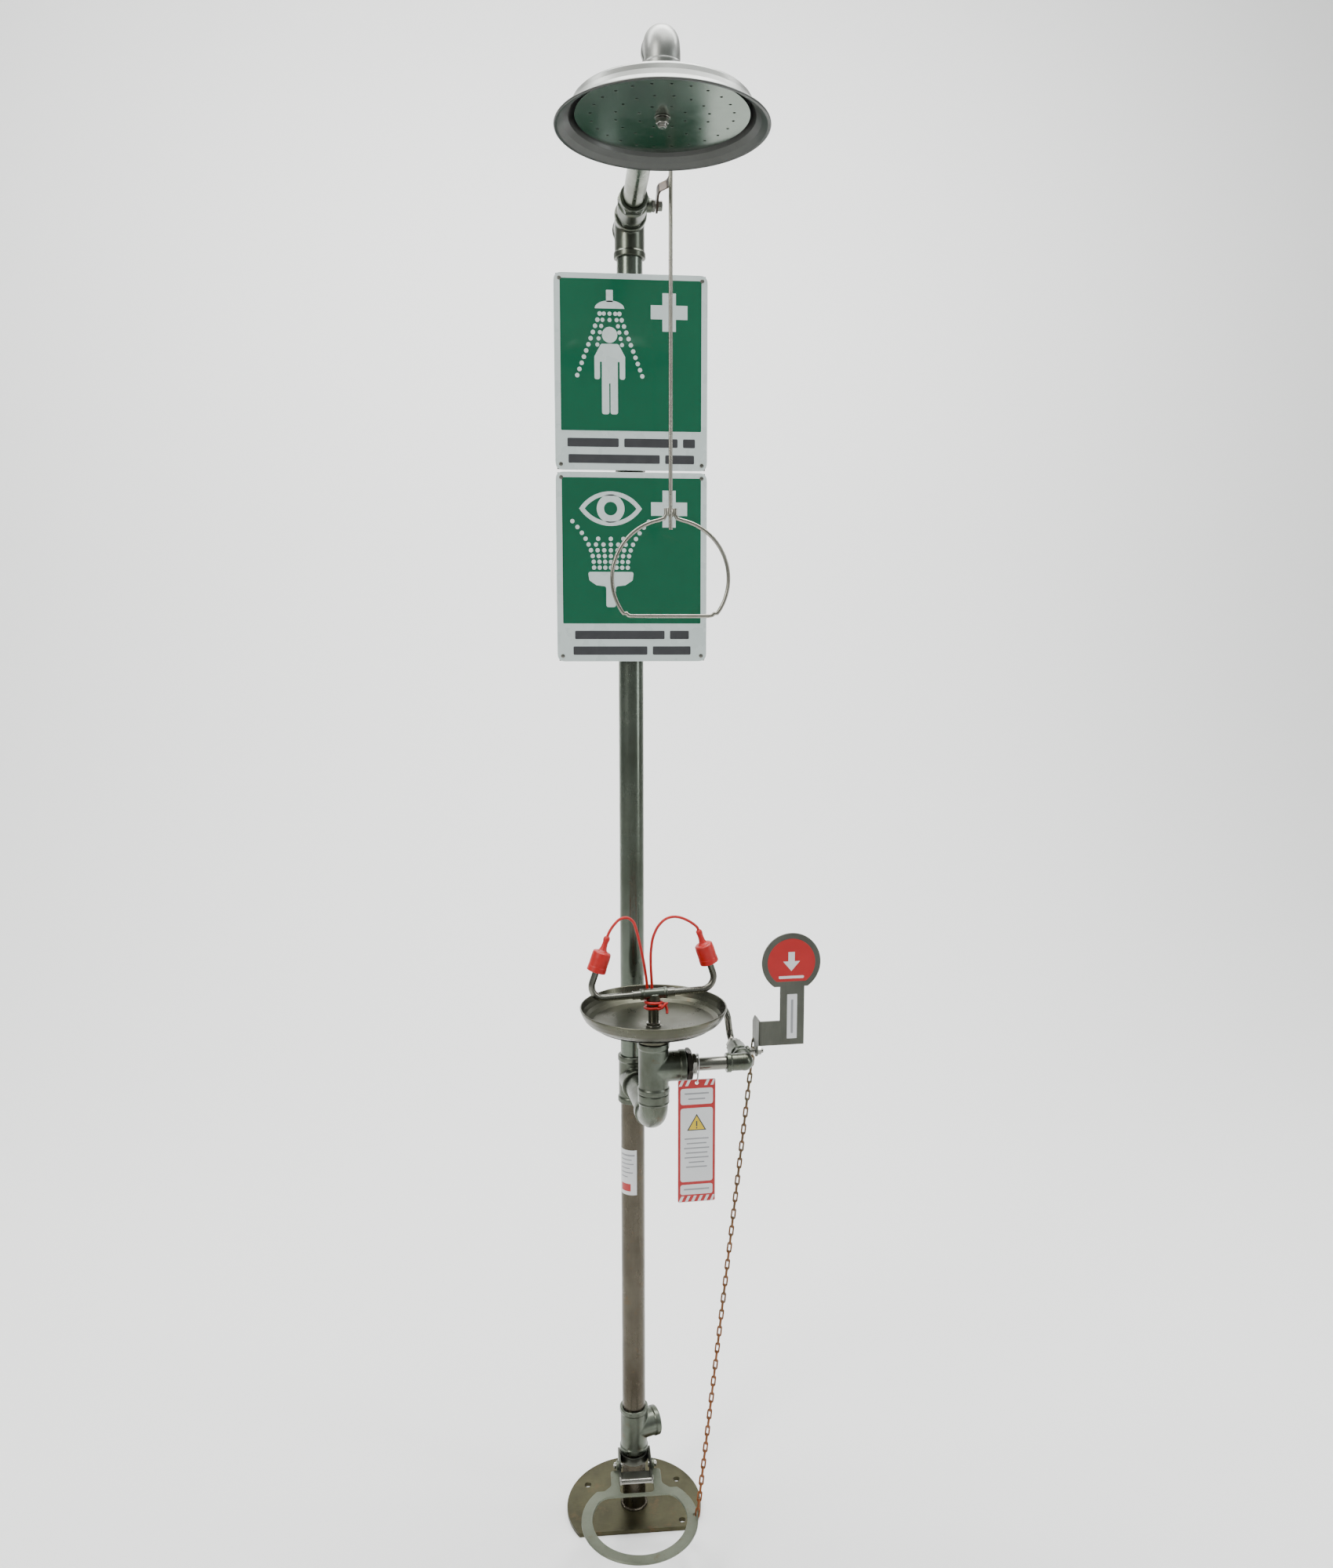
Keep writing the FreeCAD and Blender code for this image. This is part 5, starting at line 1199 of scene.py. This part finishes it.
# ------------------------------------------------------------------ pedal, chain and tag
def build_pedal():
    bracket = joined(
        pipe(26, 21.25, 16, at(0, 0, 99), bevel=0.8),
        *[brick((44, 22, 4), sideways(x, -40, 96)) for x in (-30, 26)],
        *[brick((27, 8, 4), sideways(x, -61, 96)) for x in (-30, 26)],
        brick((8, 8, 10), at(-29.5, -4, 102)),
        brick((8, 8, 10), at(21.5, -4, 102)),
        brick((56, 24, 3), at(-28, -61, 96)),
    )
    fixed("pedal_bracket", bracket, SHEET)
    rear = 71
    side = math.degrees(math.asin(rear / 101))
    outer = circle(0, PEDAL_Y, 101, 150, 180 - side, 360 + side)
    arms = [(45.4 + 13, -87), (45.4, -74), (45.4, -36), (30.4, -36), (30.4, -96), (-30.4, -96), (-30.4, -36),
            (-45.4, -36), (-45.4, -74), (-45.4 - 13, -87)]
    outline = soft([outer[-1]] + arms + [outer[0]], 9, 5, closed=False)
    back = math.degrees(math.asin(56 / 82))
    window = circle(0, PEDAL_Y, 82, 110, 180 - back, 360 + back)
    inner = round_ends(window, 11)
    ring_plate = plate([outer + outline[1:-1], inner, circle(95.3, PEDAL_Y, 3.2, 24)], 4, at(0, 0, 98), 0.5)
    ears = []
    for x in (-34.4, 30.4):
        profile = circle(-30, 107, 8.5, 30, -20, 200) + [(-41, 98), (-19, 98)]
        ears.append(plate([profile, circle(-30, 107, 3.05, 24)], 4, sideways(x, 0, 0), 0.4))
    piece("foot_pedal", joined(ring_plate, *ears), PEDAL, "foot_pedal", ["foot_pedal"])
    bar = joined(
        pipe(3.6, 0, 60.4, at(-30.2, -70, 106, "x"), bevel=0.8),
        brick((60.4, 9, 4.3), at(-30.2, -74.5, 102.05), 0.6),
        brick((3, 12, 8), at(-30.2, -76, 102.1)), brick((3, 12, 8), at(27.2, -76, 102.1)),
    )
    piece("pedal_stop_bar", bar, BRIGHT, "foot_pedal", ["pedal_stop_bar"])
    bolts = []
    for sign in (-1, 1):
        axis = "x" if sign > 0 else "-x"
        bolts.append(pipe(3.0, 0, 16, at(sign * 24, -30, 107, axis), 32, 0.5))
        bolts.append(hexagon(10, 4.2, 0, at(sign * 34.6, -30, 107, axis)))
        bolts.append(pipe(5.4, 0, 2, at(sign * 23.9, -30, 107, axis), 32, 0.3))
    fixed("pedal_hinge_bolts", joined(*bolts), BRIGHT)


def round_ends(points, radius):
    """Rounds the two sharp corners where an arc meets its chord."""
    first = Vector(points[0])
    last = Vector(points[-1])
    keep = [p for p in points if (Vector(p) - first).length > radius and (Vector(p) - last).length > radius]
    chord = (first - last).normalized()
    a = last + chord * radius
    b = first - chord * radius
    out = list(keep)
    for start, corner, end in ((Vector(keep[-1]), last, a), (b, first, Vector(keep[0]))):
        for k in range(1, 8):
            t = k / 8
            out.append(tuple(start.lerp(corner, t).lerp(corner.lerp(end, t), t)))
        if end is a:
            out.append(tuple(a))
            out.append(tuple(b))
    return out


def build_chain():
    top = feed_point(182.45, 61.5, 939.7)
    low = Vector((99.75, PEDAL_Y, 97.4))
    run = low - top
    count = 2 * int(run.length / 15 / 2) + 1
    pitch = run.length / count
    along = run.normalized()
    across = (Vector((1, 0, 0)) - along * along.x).normalized()
    third = along.cross(across)
    length = pitch + 2 * 2.4 + 0.25
    radius = (8.6 - 2.4) / 2
    straight = length - 8.6
    path = []
    for i in range(12):
        angle = -math.pi / 2 + math.pi * (i + 0.5) / 12
        path.append((straight / 2 + radius * math.cos(angle), radius * math.sin(angle)))
    for x in (0.25, -0.25):
        path.append((straight * x, radius))
    for i in range(12):
        angle = math.pi / 2 + math.pi * (i + 0.5) / 12
        path.append((-straight / 2 + radius * math.cos(angle), radius * math.sin(angle)))
    for x in (-0.25, 0.25):
        path.append((straight * x, -radius))
    links = []
    for i in range(count):
        centre = top + along * (pitch * (i + 0.5))
        wide = third if i % 2 else across
        line = [centre + along * x + wide * y for x, y in path]
        links.append(tube(line, 1.5, steps=12, closed=True))
    piece("pull_chain", joined(*links), CHAIN, "pull_chain", ["pull_chain"])


def build_tag():
    hang = feed_point(66, -29, 911)
    place = turned(hang.x, hang.y, 911, 4)
    face = frontal(0, 0.8, 0)

    def layer(outlines, level, slot):
        return plate(outlines, 0.12, Matrix.Translation((0, -0.8 - 0.125 * level, 0)) @ face,
                     0.02).painted(slot)

    def back(outlines, level, slot):
        flip = Matrix(((-1, 0, 0, 0), (0, 0, 1, 0.8 + 0.125 * level), (0, 1, 0, 0), (0, 0, 0, 1)))
        return plate(outlines, 0.12, flip, 0.02).painted(slot)

    card = plate([block(-31, -208, 62, 208, 3), circle(0, -6, 2.6, 24)], 0.8, face, 0.1)
    shapes = [card]
    for put in (layer, back):
        shapes.append(put([block(-30.4, -207.4, 60.8, 206.8, 2.6), circle(0, -6, 3.2, 24)], 0, 1))
        for y in (-10.5, -207):
            for i in range(6):
                x = -29.5 + i * 10.4
                stripe = [(x, y), (x + 4.6, y), (min(x + 9.2, 30), y + 9.5), (min(x + 4.6, 30), y + 9.5)]
                if y < -100 or x > 5 or x + 9.2 < -4:
                    shapes.append(put([stripe], 1, 0))
        shapes.append(put([block(-26.6, -42, 53.2, 27, 4.5)], 1, 0))
        shapes.append(put([block(-26.6, -173, 53.2, 125, 5)], 1, 0))
        shapes.append(put([block(-26.6, -195, 53.2, 17, 4)], 1, 0))
        shapes.append(put([[(-16, -86), (16, -86), (0, -58)]], 2, 3))
        shapes.append(put([[(-13, -84.4), (13, -84.4), (0, -61.4)]], 3, 2))
        shapes.append(put([block(-1.1, -79, 2.2, 9, 0.6)], 4, 3))
        shapes.append(put([circle(0, -81.6, 1.3, 14)], 4, 3))
        for i, width in enumerate((40, 33, 42, 36, 40, 26, 35)):
            shapes.append(put([block(-width / 2, -101 - i * 8, width, 2.2, 0.8)], 2, 4))
        for y, width in ((-25, 40), (-34, 28), (-187.5, 42)):
            shapes.append(put([block(-width / 2, y, width, 2.6, 0.8)], 2, 4))
    piece("inspection_tag", joined(*shapes), [CARD, RED_PRINT, YELLOW, INK, PALE], "inspection_tag",
          ["inspection_tag"], place)
    loop = [
        (0, 0.4, -6.0), (0, -3.4, -5.6), (1.5, -3.6, 3.0), (7, 15.6, 22.0), (7, 22.5, 28.3), (7, 35.5, 28.3),
        (7, 43.3, 20.5), (7, 43.3, 7.5), (7, 35.5, -0.3), (6, 22.5, -4.6), (0, 5.5, -6.2), (0, 1.4, -6.05),
    ]
    tie = joined(tube(route(loop, cord_radii(loop), 8), 0.9, steps=14),
                 brick((4.6, 5.4, 4.2), Matrix.Translation((4.7, 30, 26.2)), 0.5))
    fixed("tag_tie", tie, CLEAR, place)


build_base()
build_pole()
build_waste_branch()
build_feed_line()
build_bowl()
build_spray()
build_shower()
build_signs()
build_pedal()
build_chain()
build_tag()
for node, finish in (("shower_valve_ball", BRIGHT), ("eyewash_valve_ball", BRIGHT),
                     ("eyewash_valve_stem", BRIGHT),
                     ("valve_seats", SEAT), ("partition_plug", BORE)):
    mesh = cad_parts[node].data
    mesh.materials.clear()
    mesh.materials.append(finish)


# ------------------------------------------------------------------ stage, light and camera
def build_stage():
    profile = [(-14.0, 0.0), (1.6, 0.0)]
    for i in range(1, 25):
        angle = math.pi / 2 * i / 24
        profile.append((1.6 + 2.2 * math.sin(angle), 2.2 - 2.2 * math.cos(angle)))
    profile.append((3.8, 9.0))
    verts = []
    faces = []
    for y, z in profile:
        verts += [(-14, y, z), (14, y, z)]
    for i in range(len(profile) - 1):
        a = i * 2
        faces.append((a, a + 1, a + 3, a + 2))
    mesh = bpy.data.meshes.new("floor")
    mesh.from_pydata(verts, [], faces)
    for polygon in mesh.polygons:
        polygon.use_smooth = True
    material, nodes, _ = new_material("pale floor")
    nodes["Principled BSDF"].inputs["Base Color"].default_value = (0.9, 0.9, 0.895, 1)
    nodes["Principled BSDF"].inputs["Roughness"].default_value = 0.85
    mesh.materials.append(material)
    floor = linked("floor", mesh)


def area(name, place, target, size, power, colour=(1, 1, 1)):
    light = bpy.data.lights.new(name, "AREA")
    light.shape = "RECTANGLE"
    light.size, light.size_y = size
    light.energy = power
    light.color = colour
    lamp = linked(name, light)
    lamp.location = place
    lamp.rotation_mode = "QUATERNION"
    lamp.rotation_quaternion = (Vector(target) - Vector(place)).to_track_quat("-Z", "Y")


def build_light():
    area("key", (-2.6, -2.6, 3.4), (0, 0, 1.3), (1.0, 2.6), 105, (1.0, 0.98, 0.95))
    area("fill", (3.2, -1.6, 2.2), (0, 0, 1.1), (0.6, 2.8), 45, (0.94, 0.97, 1.0))
    area("top", (0.3, -0.6, 4.6), (0, -0.2, 0), (2.4, 2.4), 85)
    area("wall", (0, 0.4, 4.4), (0, 3.4, 1.2), (5.0, 1.6), 330)
    world = bpy.data.worlds.new("studio")
    world.use_nodes = True
    nodes = world.node_tree.nodes
    links = world.node_tree.links
    direction = nodes.new("ShaderNodeTexCoord").outputs["Generated"]
    split = nodes.new("ShaderNodeSeparateXYZ")
    links.new(direction, split.inputs["Vector"])
    room = ramp(nodes, [(0.0, (0.34, 0.34, 0.32)), (0.42, (0.42, 0.43, 0.42)), (0.6, (0.42, 0.44, 0.43)),
                        (0.8, (0.62, 0.66, 0.64)), (1.0, (0.85, 0.88, 0.86))])
    height = nodes.new("ShaderNodeMapRange")
    height.inputs["From Min"].default_value = -1.0
    links.new(split.outputs["Z"], height.inputs["Value"])
    links.new(height.outputs["Result"], room.inputs["Fac"])
    links.new(room.outputs["Color"], nodes["Background"].inputs["Color"])
    nodes["Background"].inputs["Strength"].default_value = 0.8
    bpy.context.scene.world = world


def build_camera():
    data = bpy.data.cameras.new("camera")
    data.lens = 27.09
    data.sensor_width = 36
    camera = linked("camera", data)
    yaw = math.radians(5.3)
    pitch = math.radians(7.2)
    camera.location = (-0.127, -2.025, 1.622)
    forward = Vector((math.sin(yaw) * math.cos(pitch), math.cos(yaw) * math.cos(pitch), -math.sin(pitch)))
    camera.rotation_mode = "QUATERNION"
    camera.rotation_quaternion = forward.to_track_quat("-Z", "Y")
    bpy.context.scene.camera = camera


build_stage()
build_light()
build_camera()
